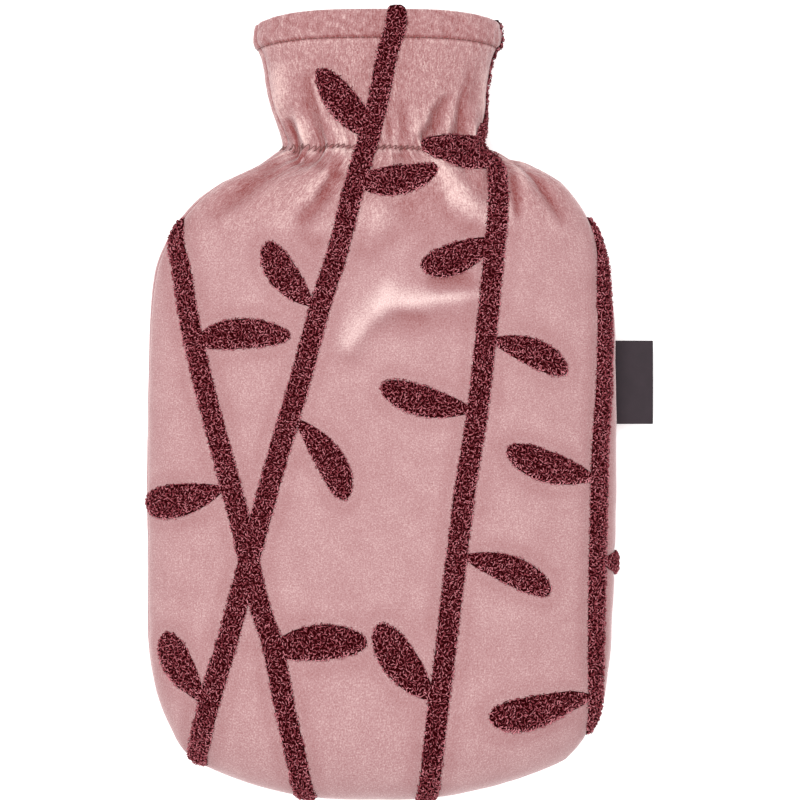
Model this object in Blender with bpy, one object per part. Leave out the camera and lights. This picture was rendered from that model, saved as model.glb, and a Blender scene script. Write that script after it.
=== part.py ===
"""A gathered-neck velour cover for a hot water bottle, lying on its back and holding the bottle's shape.

Frame: the origin is on the flat of the back, half-way along the cover. +X is to the right across the
front, +Y runs up to the open collar, and +Z is up, out of the front. All sizes are in metres.

The cloth is described by two coordinates. "across" is measured round the body from the middle of the
front, to the right positive, and "along" is measured up the front. Where the front is nearly flat they
equal x and y, and where the cloth rolls over an edge they are lengths of cloth.
"""

import math

import bmesh
import bpy
import numpy as np
from mathutils.geometry import delaunay_2d_cdt

# The cloth and the gaps between the pieces.
WALL = 0.0018
HEM_WALL = 0.0030
SEAM_GAP = 0.0005  # between the edges of the two panels
SEAM_LEVEL = 0.0230  # the height of the cover's widest line

# The cover's sections, from the bottom corners up to the rim. left and right are the half widths, crown
# and depth the heights above and below the widest line, and the last two say how square the section is.
SECTION_COLUMNS = ("along", "left", "right", "crown", "depth", "front_square", "back_square")
SECTIONS = (
    (-0.1540, 0.0834, 0.0812, 0.0285, 0.0250, 2.9, 3.6),
    (-0.1440, 0.0900, 0.0890, 0.0287, 0.0250, 2.9, 3.6),
    (-0.1250, 0.0980, 0.0972, 0.0290, 0.0250, 2.9, 3.6),
    (-0.1000, 0.1014, 0.1000, 0.0292, 0.0250, 2.9, 3.6),
    (-0.0300, 0.1018, 0.1020, 0.0292, 0.0250, 2.9, 3.6),
    (0.0300, 0.1008, 0.1014, 0.0284, 0.0250, 2.8, 3.6),
    (0.0560, 0.0986, 0.0988, 0.0272, 0.0246, 2.7, 3.4),
    (0.0720, 0.0928, 0.0938, 0.0260, 0.0240, 2.5, 3.0),
    (0.0860, 0.0826, 0.0864, 0.0246, 0.0230, 2.4, 2.7),
    (0.0960, 0.0706, 0.0780, 0.0234, 0.0220, 2.3, 2.5),
    (0.1040, 0.0545, 0.0640, 0.0222, 0.0210, 2.2, 2.3),
    (0.1090, 0.0462, 0.0510, 0.0214, 0.0204, 2.1, 2.2),
    (0.1125, 0.0430, 0.0458, 0.0210, 0.0200, 2.1, 2.2),
    (0.1180, 0.0445, 0.0448, 0.0214, 0.0203, 2.1, 2.2),
    (0.1340, 0.0494, 0.0454, 0.0224, 0.0209, 2.2, 2.2),
    (0.1530, 0.0524, 0.0485, 0.0232, 0.0214, 2.3, 2.3),
    (0.1610, 0.0556, 0.0515, 0.0235, 0.0216, 2.3, 2.3),
    (0.1690, 0.0548, 0.0510, 0.0236, 0.0216, 2.3, 2.3),
)
LOWEST = dict(zip(SECTION_COLUMNS, SECTIONS[0]))
HIGHEST = dict(zip(SECTION_COLUMNS, SECTIONS[-1]))
CORNER = LOWEST["along"]
GATHER = 0.1125
RIM = HIGHEST["along"]
RIM_DROOP = 0.0045  # how far the rim's sides hang below its middle

# The hem: its stitches pull the cloth in, and the turned cloth above them stands out.
HEM_STITCH = 0.1567
STITCH_DEPTH = 0.0007
STITCH_REACH = 0.0012
HEM_START = 0.0010  # above the stitches
HEM_STANDS = 0.0005

# The bottom edge: how far its middle bulges past the corners, and how it rolls from front to back.
BOTTOM_SAG = 0.0182
SAG_SQUARE = {"left": 2.6, "right": 2.2}  # how long the bulge stays full on each side
SAG_FADE = 0.090
ROLL_INSET = 0.040
ROLL_HEIGHT = 0.0285
ROLL_SQUARE = 2.4
CORNER_REACH = 0.008  # how far up its side seams a bottom corner still bends them

# The side seams don't lie on the widest line: the left one shows on the front, the right one is hidden.
LEFT_SEAM_SHIFT = -0.0060
RIGHT_SEAM_SHIFT = 0.0080

# Main folds: each runs from its first point to its second and fades out. height is negative for a trough.
FOLD_COLUMNS = ("across", "along", "end_across", "end_along", "spread", "height")
FOLDS = (
    # up the front of the collar
    (-0.0409, 0.1102, -0.0431, 0.1243, 0.0028, -0.0030),
    (-0.0346, 0.1099, -0.0375, 0.1308, 0.0026, 0.0016),
    (-0.0275, 0.1097, -0.0334, 0.1271, 0.0025, -0.0024),
    (-0.0204, 0.1096, -0.0305, 0.1325, 0.0026, 0.0018),
    (0.0167, 0.1164, 0.0237, 0.1310, 0.0026, 0.0014),
    (0.0202, 0.1147, 0.0291, 0.1321, 0.0028, -0.0026),
    (0.0348, 0.1134, 0.0362, 0.1317, 0.0025, -0.0024),
    (0.0400, 0.1110, 0.0425, 0.1255, 0.0020, 0.0016),
    (0.0500, 0.1112, 0.0540, 0.1215, 0.0036, -0.0020),
    # down the front's shoulders
    (-0.0319, 0.1072, -0.0648, 0.0874, 0.0040, -0.0028),
    (-0.0160, 0.1043, -0.0334, 0.0845, 0.0032, 0.0024),
    (-0.0193, 0.0965, -0.0347, 0.0776, 0.0032, -0.0026),
    (0.0261, 0.1008, 0.0432, 0.0802, 0.0041, 0.0028),
    (0.0517, 0.1021, 0.0388, 0.0716, 0.0034, -0.0016),
    (0.0560, 0.1060, 0.0589, 0.0847, 0.0028, -0.0024),
    (0.0587, 0.1051, 0.0651, 0.0852, 0.0030, 0.0014),
    (0.0628, 0.1044, 0.0763, 0.0850, 0.0030, -0.0024),
    (0.0046, 0.1077, -0.0022, 0.0809, 0.0038, 0.0016),
    (0.0098, 0.1042, 0.0080, 0.0715, 0.0051, -0.0016),
    # the bent crease on the front
    (-0.0137, 0.0237, -0.0005, 0.0403, 0.0038, 0.0022),
    (-0.0005, 0.0403, 0.0422, 0.0446, 0.0038, 0.0024),
    (-0.0039, 0.0292, 0.0379, 0.0331, 0.0047, -0.0010),
    # down the back from the neck
    (-0.0620, 0.1110, -0.1000, 0.0900, 0.0042, -0.0024),
    (-0.0750, 0.1120, -0.1260, 0.0880, 0.0044, -0.0026),
    (-0.0900, 0.1110, -0.1520, 0.0890, 0.0040, -0.0022),
    (0.0770, 0.1110, 0.1130, 0.0890, 0.0044, -0.0026),
    (0.0890, 0.1120, 0.1370, 0.0880, 0.0042, -0.0022),
    (0.1010, 0.1110, 0.1640, 0.0900, 0.0040, -0.0024),
    # up the back of the collar
    (-0.0660, 0.1130, -0.0720, 0.1290, 0.0040, -0.0022),
    (-0.0870, 0.1130, -0.0940, 0.1320, 0.0040, -0.0020),
    (0.0800, 0.1130, 0.0810, 0.1310, 0.0040, -0.0022),
    (0.0980, 0.1130, 0.0990, 0.1280, 0.0040, -0.0018),
)
FOLD_END_SHARE = 0.3  # how much of a fold's height is left at its far end

# The embroidery: stems and leaves of looped yarn, standing proud of the cloth.
STEM_WIDTH = 0.0086
YARN_EDGE = 0.0014
YARN_CROWN = 0.0024
YARN_GAP = 0.00045
YARN_SLOPE = 0.0026  # how far in from its edge the yarn reaches its full height
STEM_STEP = 0.011
SEAM_MARGIN = 0.0010  # how far the yarn stays inside the panel's edges
STEMS = {
    "crossing": (
        (0.0070, 0.1690), (0.0064, 0.1620), (0.0029, 0.1508), (-0.0005, 0.1333), (-0.0044, 0.1167),
        (-0.0124, 0.0896), (-0.0187, 0.0642), (-0.0247, 0.0459), (-0.0353, 0.0070), (-0.0422, -0.0159),
        (-0.0555, -0.0637), (-0.0650, -0.0979), (-0.0720, -0.1191), (-0.0762, -0.1335), (-0.0798, -0.1510),
        (-0.0806, -0.1625),
    ),
    "left": (
        (-0.0930, 0.0812), (-0.0912, 0.0700), (-0.0868, 0.0565), (-0.0836, 0.0388), (-0.0786, 0.0169),
        (-0.0697, -0.0160), (-0.0603, -0.0505), (-0.0521, -0.0853), (-0.0463, -0.1013), (-0.0405, -0.1253),
        (-0.0366, -0.1390), (-0.0318, -0.1675),
    ),
    "middle": (
        (0.0676, 0.1690), (0.0686, 0.1627), (0.0660, 0.1508), (0.0627, 0.1380), (0.0606, 0.1275),
        (0.0556, 0.1210), (0.0492, 0.1168), (0.0480, 0.1125), (0.0505, 0.1082), (0.0508, 0.1007),
        (0.0503, 0.0863), (0.0487, 0.0686), (0.0452, 0.0339), (0.0409, -0.0044), (0.0356, -0.0377),
        (0.0313, -0.0726), (0.0279, -0.0995), (0.0231, -0.1303), (0.0188, -0.1675),
    ),
    "right": (
        (0.1012, 0.0812), (0.1010, 0.0695), (0.0993, 0.0515), (0.0987, 0.0166), (0.0963, -0.0161),
        (0.0952, -0.0423), (0.0943, -0.0951), (0.0950, -0.1290), (0.0962, -0.1390), (0.0972, -0.1450),
    ),
}
# Each leaf grows from its base on the stem to its tip. bow is how far its middle swells to its left, and
# taper says how slim its base is.
LEAF_COLUMNS = ("stem", "across", "along", "tip_across", "tip_along", "width", "bow", "taper")
LEAVES = (
    ("crossing", -0.0054, 0.1158, -0.0271, 0.1431, 0.0132, 0.0005, 0.45),
    ("crossing", -0.0086, 0.0942, 0.0239, 0.1002, 0.0124, -0.0014, 0.40),
    ("crossing", -0.0290, 0.0414, -0.0494, 0.0684, 0.0128, 0.0020, 0.75),
    ("crossing", -0.0370, -0.0060, -0.0146, -0.0405, 0.0124, 0.0028, 0.85),
    ("crossing", -0.0766, -0.1262, -0.0952, -0.0989, 0.0145, 0.0014, 0.75),
    ("left", -0.0785, 0.0272, -0.0388, 0.0288, 0.0126, 0.0018, 0.40),
    ("left", -0.0665, -0.0358, -0.1070, -0.0434, 0.0140, 0.0018, 0.80),
    ("left", -0.0452, -0.1022, -0.0060, -0.0996, 0.0124, 0.0014, 0.45),
    ("middle", 0.0500, 0.1075, 0.0172, 0.1113, 0.0146, 0.0008, 0.28),
    ("middle", 0.0480, 0.0703, 0.0174, 0.0578, 0.0132, 0.0016, 0.70),
    ("middle", 0.0465, 0.0273, 0.0800, 0.0135, 0.0118, 0.0020, 0.75),
    ("middle", 0.0395, -0.0029, 0.0000, 0.0074, 0.0128, 0.0017, 0.75),
    ("middle", 0.0338, -0.0650, 0.0724, -0.0806, 0.0122, 0.0024, 0.80),
    ("middle", 0.0230, -0.1196, -0.0023, -0.0939, 0.0140, 0.0011, 0.80),
    ("right", 0.0935, -0.0320, 0.0537, -0.0196, 0.0132, 0.0018, 0.75),
    ("right", 0.0930, -0.1258, 0.0462, -0.1269, 0.0130, 0.0020, 0.75),
    ("right", 0.0959, -0.0680, 0.1240, -0.0694, 0.0092, 0.0000, 0.75),
)
LEAF_POINTS = 7  # outline points on each side of a leaf
LEAF_TIP = 0.5  # how blunt a leaf's tip is: a half is a round end
VINES = {"vines_crossed": ("crossing", "left"), "vine_middle": ("middle",), "vine_right": ("right",)}

# The folded ribbon tab that is caught in the right seam.
TAB_LOW = -0.0090
TAB_HIGH = 0.0275
TAB_REACH = 0.1188  # x of its outer fold
TAB_PLY = 0.0005
TAB_SPACE = 0.0004  # between its two plies
TAB_TUCK = 0.0012  # how far it reaches into the seam
TAB_ROOM = 0.0008  # free of the panels above and below
TAB_CLEAR = 0.0020  # free of the panels at its ends
TAB_TURN = 7  # points round its outer fold

# Each material's colour and roughness.
VELOUR = ((0.640, 0.370, 0.360, 1.0), 0.90)
LOOPED_YARN = ((0.135, 0.022, 0.040, 1.0), 0.95)
RIBBON = ((0.055, 0.050, 0.058, 1.0), 0.60)

# The panels' meshes: columns across the cloth, and rows along it, closest where the cloth bends most.
FRONT_COLUMNS = 34
BACK_COLUMNS = 9  # on each half of the back
ROLL_ROWS = (0.0, 0.07, 0.16, 0.27, 0.40, 0.55, 0.70, 0.85)  # shares of the bottom roll's cloth
BODY_ROWS = 6
TAB_ROWS = 5
CREASE_TOP = 0.0520
CREASE_STEP = 0.0042
UPPER_ROWS = (0.0575, 0.0650)
SHOULDER_LOW = 0.0710
SHOULDER_TOP = 0.1280
SHOULDER_STEP = 0.0048
COLLAR_ROWS = (0.1300, 0.1380, 0.1470)
STITCH_ROW = 0.0015  # from the stitches to the rows beside them
HEM_ROW = 0.0050  # from the stitches to the hem's lowest row
HEM_ROWS = 3
TWIST = 0.0003  # the least twist of a cell of the mesh that its diagonal counts for
NUDGE = 0.0004  # the step for slopes of the cloth's surface
INSIDE_ONLY = 1  # the triangulation keeps only what its outlines enclose
SAME_PLACE = 0.0001  # in cells of the mesh


def smooth_through(knots, values, at):
    """A curve through the given points that doesn't swing past them."""
    knots = np.asarray(knots, float)
    values = np.asarray(values, float)
    step = np.diff(knots)
    slope = np.diff(values) / step
    tangent = np.zeros(len(knots))
    same_way = slope[:-1] * slope[1:] > 0
    product = np.where(same_way, 2 * slope[:-1] * slope[1:], 0.0)
    tangent[1:-1] = product / np.where(same_way, slope[:-1] + slope[1:], 1.0)
    tangent[0], tangent[-1] = slope[0], slope[-1]
    at = np.clip(at, knots[0], knots[-1])
    k = np.clip(np.searchsorted(knots, at, side="right") - 1, 0, len(step) - 1)
    t = (at - knots[k]) / step[k]
    return (
        values[k] * (1 + 2 * t) * (1 - t) ** 2
        + values[k + 1] * t * t * (3 - 2 * t)
        + step[k] * (tangent[k] * t * (1 - t) ** 2 - tangent[k + 1] * t * t * (1 - t))
    )


def section(column, along):
    """One column of the sections' table at any height along the cover."""
    knots = [row[SECTION_COLUMNS.index("along")] for row in SECTIONS]
    values = [row[SECTION_COLUMNS.index(column)] for row in SECTIONS]
    return smooth_through(knots, values, along)


def quarter(width, height, square, count=61):
    """A quarter of a rounded section, from its crown to its widest line: how far across, and how high."""
    turn = np.linspace(0.0, math.pi / 2, count)
    power = 2.0 / square
    return width * np.sin(turn) ** power, height * np.cos(turn) ** power


def running_length(first, second):
    """The length along a line of points, from its start."""
    return np.concatenate([[0.0], np.cumsum(np.hypot(np.diff(first), np.diff(second)))])


def bottom_roll():
    """The bottom edge's roll, from its seam inwards: length of cloth, inset, and share of full height."""
    inwards, high = quarter(ROLL_INSET, ROLL_HEIGHT, ROLL_SQUARE)
    inset = ROLL_INSET - inwards[::-1]
    return running_length(inset, high[::-1]), inset, high[::-1] / ROLL_HEIGHT


ROLL_LENGTH, ROLL_IN, ROLL_SHARE = bottom_roll()
BOTTOM_SEAM = CORNER + ROLL_INSET - ROLL_LENGTH[-1]


def half_ring(along, side):
    """Half a section round the cover: length of cloth from the front's middle, distance out, and height."""
    cloth = along - BOTTOM_SEAM
    share = np.interp(cloth, ROLL_LENGTH, ROLL_SHARE)
    level = np.where(cloth < ROLL_LENGTH[-1], CORNER + np.interp(cloth, ROLL_LENGTH, ROLL_IN), along)
    width = section(side, level)
    out, up = quarter(width, section("crown", level) * share, section("front_square", level))
    under, down = quarter(width, section("depth", level) * share, section("back_square", level))
    out = np.concatenate([out, under[::-1]])
    high = np.concatenate([SEAM_LEVEL + SEAM_GAP / 2 + up, SEAM_LEVEL - SEAM_GAP / 2 - down[::-1]])
    high = np.maximum(high, 0.0)
    return running_length(out, high), out, high, float(level), len(up) - 1


def bottom_bulge(x, along):
    """How far the rows near the bottom bend down to follow its edge, and the rim's sides droop."""
    side = "left" if x < 0 else "right"
    curve = BOTTOM_SAG * (1 - min(abs(x) / LOWEST[side], 1.0) ** SAG_SQUARE[side])
    fade = max(0.0, 1 - (along - BOTTOM_SEAM) / SAG_FADE)
    collar = min(1.0, max(0.0, (along - GATHER) / (RIM - GATHER)))
    droop = RIM_DROOP * collar * min(abs(x) / HIGHEST["left"], 1.0) ** 4
    return curve * fade * fade * (3 - 2 * fade) + droop


def seam_across(along, side):
    """Where a side seam lies, as a length of cloth from the middle of the front."""
    run, _, _, _, widest = half_ring(along, side)
    fade = min(1.0, max(0.0, (along - BOTTOM_SEAM - CORNER_REACH) / ROLL_LENGTH[-1]))
    shift = LEFT_SEAM_SHIFT if side == "left" else RIGHT_SEAM_SHIFT
    return run[widest] + SEAM_GAP / 2 + shift * fade


def folds(across, along):
    """How far the cloth stands out or in at a place, from the table of folds."""
    total = 0.0
    for row in FOLDS:
        fold = dict(zip(FOLD_COLUMNS, row))
        run_x = fold["end_across"] - fold["across"]
        run_y = fold["end_along"] - fold["along"]
        from_x, from_y = across - fold["across"], along - fold["along"]
        t = min(1.0, max(0.0, (from_x * run_x + from_y * run_y) / (run_x**2 + run_y**2)))
        apart = math.hypot(from_x - t * run_x, from_y - t * run_y) / fold["spread"]
        total += fold["height"] * (1 - (1 - FOLD_END_SHARE) * t) * math.exp(-apart * apart / 2)
    return total


def bare_point(across, along):
    """A place on the cloth's outer face before its folds."""
    side = "left" if across < 0 else "right"
    run, out, high, level, _ = half_ring(along, side)
    x = math.copysign(np.interp(abs(across), run, out), across)
    z = np.interp(abs(across), run, high)
    return np.array([x, level - bottom_bulge(x, along), z])


def cloth_normal(across, along):
    """The way the cloth faces, on one side of a seam, or at the seam itself and then past its corners."""
    side = "left" if across < 0 else "right"
    seam = math.copysign(seam_across(along, side), across)
    if abs(across - seam) < SEAM_GAP:
        along = max(along, BOTTOM_SEAM + CORNER_REACH)
        across = seam = math.copysign(seam_across(along, side), across)
    low, high = max(along - NUDGE, BOTTOM_SEAM), min(along + NUDGE, RIM)
    left, right = across - NUDGE, across + NUDGE
    if abs(across) < abs(seam):
        left, right = max(left, -abs(seam)), min(right, abs(seam))
    elif across > seam > 0:
        left = max(left, seam)
    elif across < seam < 0:
        right = min(right, seam)
    sideways = bare_point(right, along) - bare_point(left, along)
    upwards = bare_point(across, high) - bare_point(across, low)
    normal = np.cross(sideways, upwards)
    return normal / np.linalg.norm(normal)


def cloth_point(across, along, lift=0.0):
    """A place on the folded cloth, lifted off its outer face by a distance."""
    return bare_point(across, along) + cloth_normal(across, along) * (lift + folds(across, along))


def row_stations():
    """The rows of the panels' meshes, from the bottom seam up to the rim."""
    roll = BOTTOM_SEAM + ROLL_LENGTH[-1] * np.array(ROLL_ROWS)
    body = np.linspace(CORNER + ROLL_INSET, TAB_LOW - 2 * TAB_CLEAR, BODY_ROWS)
    beside_tab = np.linspace(TAB_LOW - TAB_CLEAR, TAB_HIGH + TAB_CLEAR, TAB_ROWS)
    crease = np.arange(TAB_HIGH + 2 * TAB_CLEAR, CREASE_TOP, CREASE_STEP)
    shoulder = np.arange(SHOULDER_LOW, SHOULDER_TOP, SHOULDER_STEP)
    stitches = [HEM_STITCH - STITCH_ROW, HEM_STITCH, HEM_STITCH + STITCH_ROW]
    hem = np.linspace(HEM_STITCH + HEM_ROW, RIM, HEM_ROWS)
    parts = [roll, body, beside_tab, crease, UPPER_ROWS, shoulder, COLLAR_ROWS, stitches, hem]
    return np.concatenate(parts)


def seam_gap(along):
    """Half the gap between the panels' edges, wider where the tab passes through the right seam."""
    beside = max(TAB_LOW - along, along - TAB_HIGH, 0.0)
    closing = min(1.0, max(0.0, (beside - TAB_CLEAR) / TAB_CLEAR))
    wide = TAB_PLY + TAB_SPACE / 2 + TAB_ROOM
    return wide + (SEAM_GAP / 2 - wide) * closing


def hem_relief(along):
    """The row of hem stitches pulls the cloth in, and the turned hem above it stands out."""
    stitch = -STITCH_DEPTH * math.exp(-(((along - HEM_STITCH) / STITCH_REACH) ** 2))
    return stitch + (HEM_STANDS if along > HEM_STITCH + HEM_START else 0.0)


def wall_mesh(name, outer, inner):
    """A closed piece of cloth between two grids of points, one for each face."""
    mesh = bpy.data.meshes.new(name)
    shape = bmesh.new()
    skins = [[[shape.verts.new(point) for point in row] for row in grid] for grid in (outer, inner)]
    for side, rows in enumerate(skins):
        for low, high in zip(rows, rows[1:]):
            for k in range(len(low) - 1):
                for corners in ((low[k], low[k + 1], high[k + 1]), (low[k], high[k + 1], high[k])):
                    shape.faces.new(corners if side == 0 else corners[::-1])
    edges = []
    for rows in skins:
        bottom, top = rows[0], rows[-1]
        right, left = [row[-1] for row in rows], [row[0] for row in rows]
        edges.append(bottom + right[1:] + top[-2::-1] + left[-2:0:-1])
    out, back = edges
    for k in range(len(out)):
        n = (k + 1) % len(out)
        shape.faces.new((out[n], out[k], back[k], back[n]))
    shape.to_mesh(mesh)
    shape.free()
    return mesh


def add_piece(name, mesh, finish):
    """Puts a mesh in the scene as a named object with its own material, of a colour and a roughness."""
    colour, roughness = finish
    piece = bpy.data.objects.new(name, mesh)
    bpy.context.scene.collection.objects.link(piece)
    material = bpy.data.materials.new(name)
    material.use_nodes = True
    shader = material.node_tree.nodes["Principled BSDF"]
    shader.inputs["Base Color"].default_value = colour
    shader.inputs["Roughness"].default_value = roughness
    mesh.materials.append(material)
    mesh.shade_smooth()
    return piece


def cloth_grid(columns, stations, lift):
    """The points of one face of a panel, lifted off the cloth's outer face by a distance for each row."""
    return [[cloth_point(across, along, lift(along)) for across in columns(along)] for along in stations]


def panel_mesh(name, columns, stations):
    """A panel of cloth, with its thickness inside, thicker along its hem."""
    outer = cloth_grid(columns, stations, hem_relief)
    inner = cloth_grid(columns, stations, lambda along: -HEM_WALL if along > HEM_STITCH else -WALL)
    return wall_mesh(name, outer, inner)


def front_columns(along):
    """Places across the front panel, from the left seam to the right one."""
    left = -seam_across(along, "left") + SEAM_GAP / 2
    right = seam_across(along, "right") - seam_gap(along)
    return np.linspace(left, right, FRONT_COLUMNS + 1)


def back_columns(along, count=BACK_COLUMNS):
    """Places across the back panel, from the right seam under the cover to the left one."""
    ends = {side: half_ring(along, side)[0][-1] for side in ("left", "right")}
    right = np.linspace(seam_across(along, "right") + seam_gap(along), ends["right"], count + 1)
    left = np.linspace(ends["left"], seam_across(along, "left") + SEAM_GAP / 2, count + 1)
    return np.concatenate([right, -left[1:]])


def smooth_path(points, step):
    """A smooth line through points, with places about a step apart."""
    points = np.array(points, float)
    run = running_length(points[:, 0], points[:, 1])
    at = np.linspace(0.0, run[-1], max(2, round(run[-1] / step)) + 1)
    return np.stack([smooth_through(run, points[:, k], at) for k in (0, 1)], axis=1)


def side_steps(path):
    """The unit vectors that point to the left of a path."""
    ahead = np.gradient(path, axis=0)
    ahead /= np.linalg.norm(ahead, axis=1, keepdims=True)
    return np.stack([-ahead[:, 1], ahead[:, 0]], axis=1)


def stem_outline(points):
    """The outline of a stem in cloth coordinates, and the places along its middle."""
    path = smooth_path(points, STEM_STEP)
    aside = side_steps(path) * STEM_WIDTH / 2
    return np.concatenate([path - aside, (path + aside)[::-1]]), path[1:-1]


def leaf_outline(leaf):
    """The outline of a leaf, slim at its base and widest near its round tip, and places along its middle."""
    base = np.array([leaf["across"], leaf["along"]])
    run = np.array([leaf["tip_across"], leaf["tip_along"]]) - base
    aside = np.array([-run[1], run[0]]) / np.linalg.norm(run)
    t = (1 - np.cos(np.linspace(0.0, math.pi, LEAF_POINTS + 2))) / 2
    spine = base + np.outer(t, run) + np.outer(4 * t * (1 - t) * leaf["bow"], aside)
    swell = t ** leaf["taper"] * (1 - t) ** LEAF_TIP
    half = np.outer(leaf["width"] / 2 * swell / swell.max(), aside)
    return np.concatenate([spine - half, (spine + half)[-2:0:-1]]), spine[3:-2:2]


class FrontFace:
    """The front panel's outer face, as its mesh has it, for pieces that lie on it."""

    def __init__(self, stations):
        self.stations = stations
        self.ends = np.array([front_columns(along)[[0, -1]] for along in stations])
        self.skin = np.array(cloth_grid(front_columns, stations, hem_relief))
        raised = np.array(cloth_grid(front_columns, stations, lambda along: hem_relief(along) + 1.0))
        self.normals = raised - self.skin

    def keep_on(self, place):
        """Moves a place that reaches past a seam, the rim or the bottom back onto the panel."""
        along = min(max(place[1], self.stations[0] + SEAM_MARGIN), self.stations[-1] - SEAM_MARGIN)
        left, right = (np.interp(along, self.stations, self.ends[:, k]) for k in (0, 1))
        return min(max(place[0], left + SEAM_MARGIN), right - SEAM_MARGIN), along

    def to_cells(self, place):
        """A place on the cloth counted in columns and rows of the panel's mesh."""
        row = np.interp(place[1], self.stations, range(len(self.stations)))
        left, right = (np.interp(place[1], self.stations, self.ends[:, k]) for k in (0, 1))
        return (place[0] - left) / (right - left) * FRONT_COLUMNS, row

    def to_cloth(self, cell):
        """The place on the cloth that to_cells counts as the given columns and rows."""
        along = np.interp(cell[1], range(len(self.stations)), self.stations)
        left, right = (np.interp(along, self.stations, self.ends[:, k]) for k in (0, 1))
        return left + (right - left) * cell[0] / FRONT_COLUMNS, along

    def lifted(self, cell, lift):
        """A point at a distance over a place of the mesh."""
        column = min(int(cell[0]), FRONT_COLUMNS - 1)
        row = min(int(cell[1]), len(self.stations) - 2)
        f, g = cell[0] - column, cell[1] - row
        found = []
        for grid in (self.skin, self.normals):
            near, far = grid[row, column], grid[row + 1, column + 1]
            corner = grid[row, column + 1] if f > g else grid[row + 1, column]
            found.append(near + max(f, g) * (corner - near) + min(f, g) * (far - corner))
        return found[0] + found[1] * lift

    def cell_edges(self, low, high):
        """The mesh's edges between two corners in columns and rows, as points and pairs of them."""
        first = np.maximum(np.floor(low).astype(int), 0)
        last = np.minimum(np.ceil(high).astype(int), (FRONT_COLUMNS, len(self.stations) - 1))
        wide = last[0] - first[0] + 1
        columns, rows = (range(first[k], last[k] + 1) for k in (0, 1))
        points = [(float(column), float(row)) for row in rows for column in columns]
        pairs = []
        for k, (column, row) in enumerate(points):
            right, up = bool(column < last[0]), bool(row < last[1])
            pairs += [(k, k + 1)] * right + [(k, k + wide)] * up
            if right and up:
                near, far = self.skin[int(row) : int(row) + 2, int(column) : int(column) + 2]
                if np.linalg.norm(near[0] + far[1] - near[1] - far[0]) > TWIST:
                    pairs.append((k, k + wide + 1))
        return points, pairs


def embroidery_outlines(stems):
    """The outlines of some stems and their leaves, and places along the middle of each."""
    found = []
    for stem in stems:
        found.append(stem_outline(STEMS[stem]))
        for row in LEAVES:
            leaf = dict(zip(LEAF_COLUMNS, row))
            if leaf["stem"] == stem:
                found.append(leaf_outline(leaf))
    return [outline for outline, _ in found], [place for _, middle in found for place in middle]


def embroidery_mesh(name, stems, face):
    """One closed relief over the front panel from the joined outlines of stems and their leaves."""
    outlines, middles = embroidery_outlines(stems)
    cells = [face.to_cells(face.keep_on(place)) for outline in outlines for place in outline]
    loops, start = [], 0
    for outline in outlines:
        loops.append(list(range(start, start + len(outline))))
        start += len(outline)
    cells += [face.to_cells(face.keep_on(place)) for place in middles]
    corners, pairs = face.cell_edges(np.min(cells, axis=0), np.max(cells, axis=0))
    pairs = [(a + len(cells), b + len(cells)) for a, b in pairs]
    found = delaunay_2d_cdt(cells + corners, pairs, loops, INSIDE_ONLY, SAME_PLACE, True)
    flat, _, parts, _, _, inside = found
    parts = [part for part, sources in zip(parts, inside) if sources]
    edges = {(a, b) for part in parts for a, b in zip(part, part[1:] + part[:1])}
    rim = [(a, b) for a, b in edges if (b, a) not in edges]
    on_rim = {k for edge in rim for k in edge}
    cloth = {k: np.array(face.to_cloth(flat[k])) for part in parts for k in part}
    starts = np.array([cloth[a] for a, _ in rim])
    runs = np.array([cloth[b] for _, b in rim]) - starts
    mesh = bpy.data.meshes.new(name)
    shape = bmesh.new()
    under, over = {}, {}
    for k, place in cloth.items():
        t = np.clip(((place - starts) * runs).sum(1) / (runs * runs).sum(1), 0, 1)
        inset = 0.0 if k in on_rim else np.hypot(*(place - starts - runs * t[:, None]).T).min()
        rise = math.sin(min(1.0, inset / YARN_SLOPE) * math.pi / 2)
        under[k] = shape.verts.new(face.lifted(flat[k], YARN_GAP))
        over[k] = shape.verts.new(face.lifted(flat[k], YARN_EDGE + (YARN_CROWN - YARN_EDGE) * rise))
    for part in parts:
        shape.faces.new([over[k] for k in part])
        shape.faces.new([under[k] for k in reversed(part)])
    for a, b in rim:
        shape.faces.new((over[b], over[a], under[a], under[b]))
    shape.to_mesh(mesh)
    shape.free()
    return mesh


def tab_mesh(name):
    """The folded ribbon: two plies joined by a round fold at the outer end."""
    middle = (TAB_LOW + TAB_HIGH) / 2
    seam = bare_point(seam_across(middle, "right"), middle)
    thick = 2 * TAB_PLY + TAB_SPACE
    inner_radius, outer_radius = TAB_SPACE / 2, thick / 2
    centre = TAB_REACH - outer_radius
    turn = np.linspace(math.pi / 2, -math.pi / 2, TAB_TURN)
    start = seam[0] - TAB_TUCK
    profile = [(start, outer_radius)]
    profile += [(centre + outer_radius * math.cos(a), outer_radius * math.sin(a)) for a in turn]
    profile += [(start, -outer_radius), (start, -inner_radius)]
    profile += [(centre + inner_radius * math.cos(a), inner_radius * math.sin(a)) for a in reversed(turn)]
    profile += [(start, inner_radius)]
    mesh = bpy.data.meshes.new(name)
    shape = bmesh.new()
    ends = [[shape.verts.new((x, y, seam[2] + z)) for x, z in profile] for y in (TAB_LOW, TAB_HIGH)]
    shape.faces.new(ends[0])
    shape.faces.new(ends[1][::-1])
    for k in range(len(profile)):
        n = (k + 1) % len(profile)
        shape.faces.new((ends[0][n], ends[0][k], ends[1][k], ends[1][n]))
    bmesh.ops.recalc_face_normals(shape, faces=shape.faces)
    shape.to_mesh(mesh)
    shape.free()
    return mesh


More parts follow.
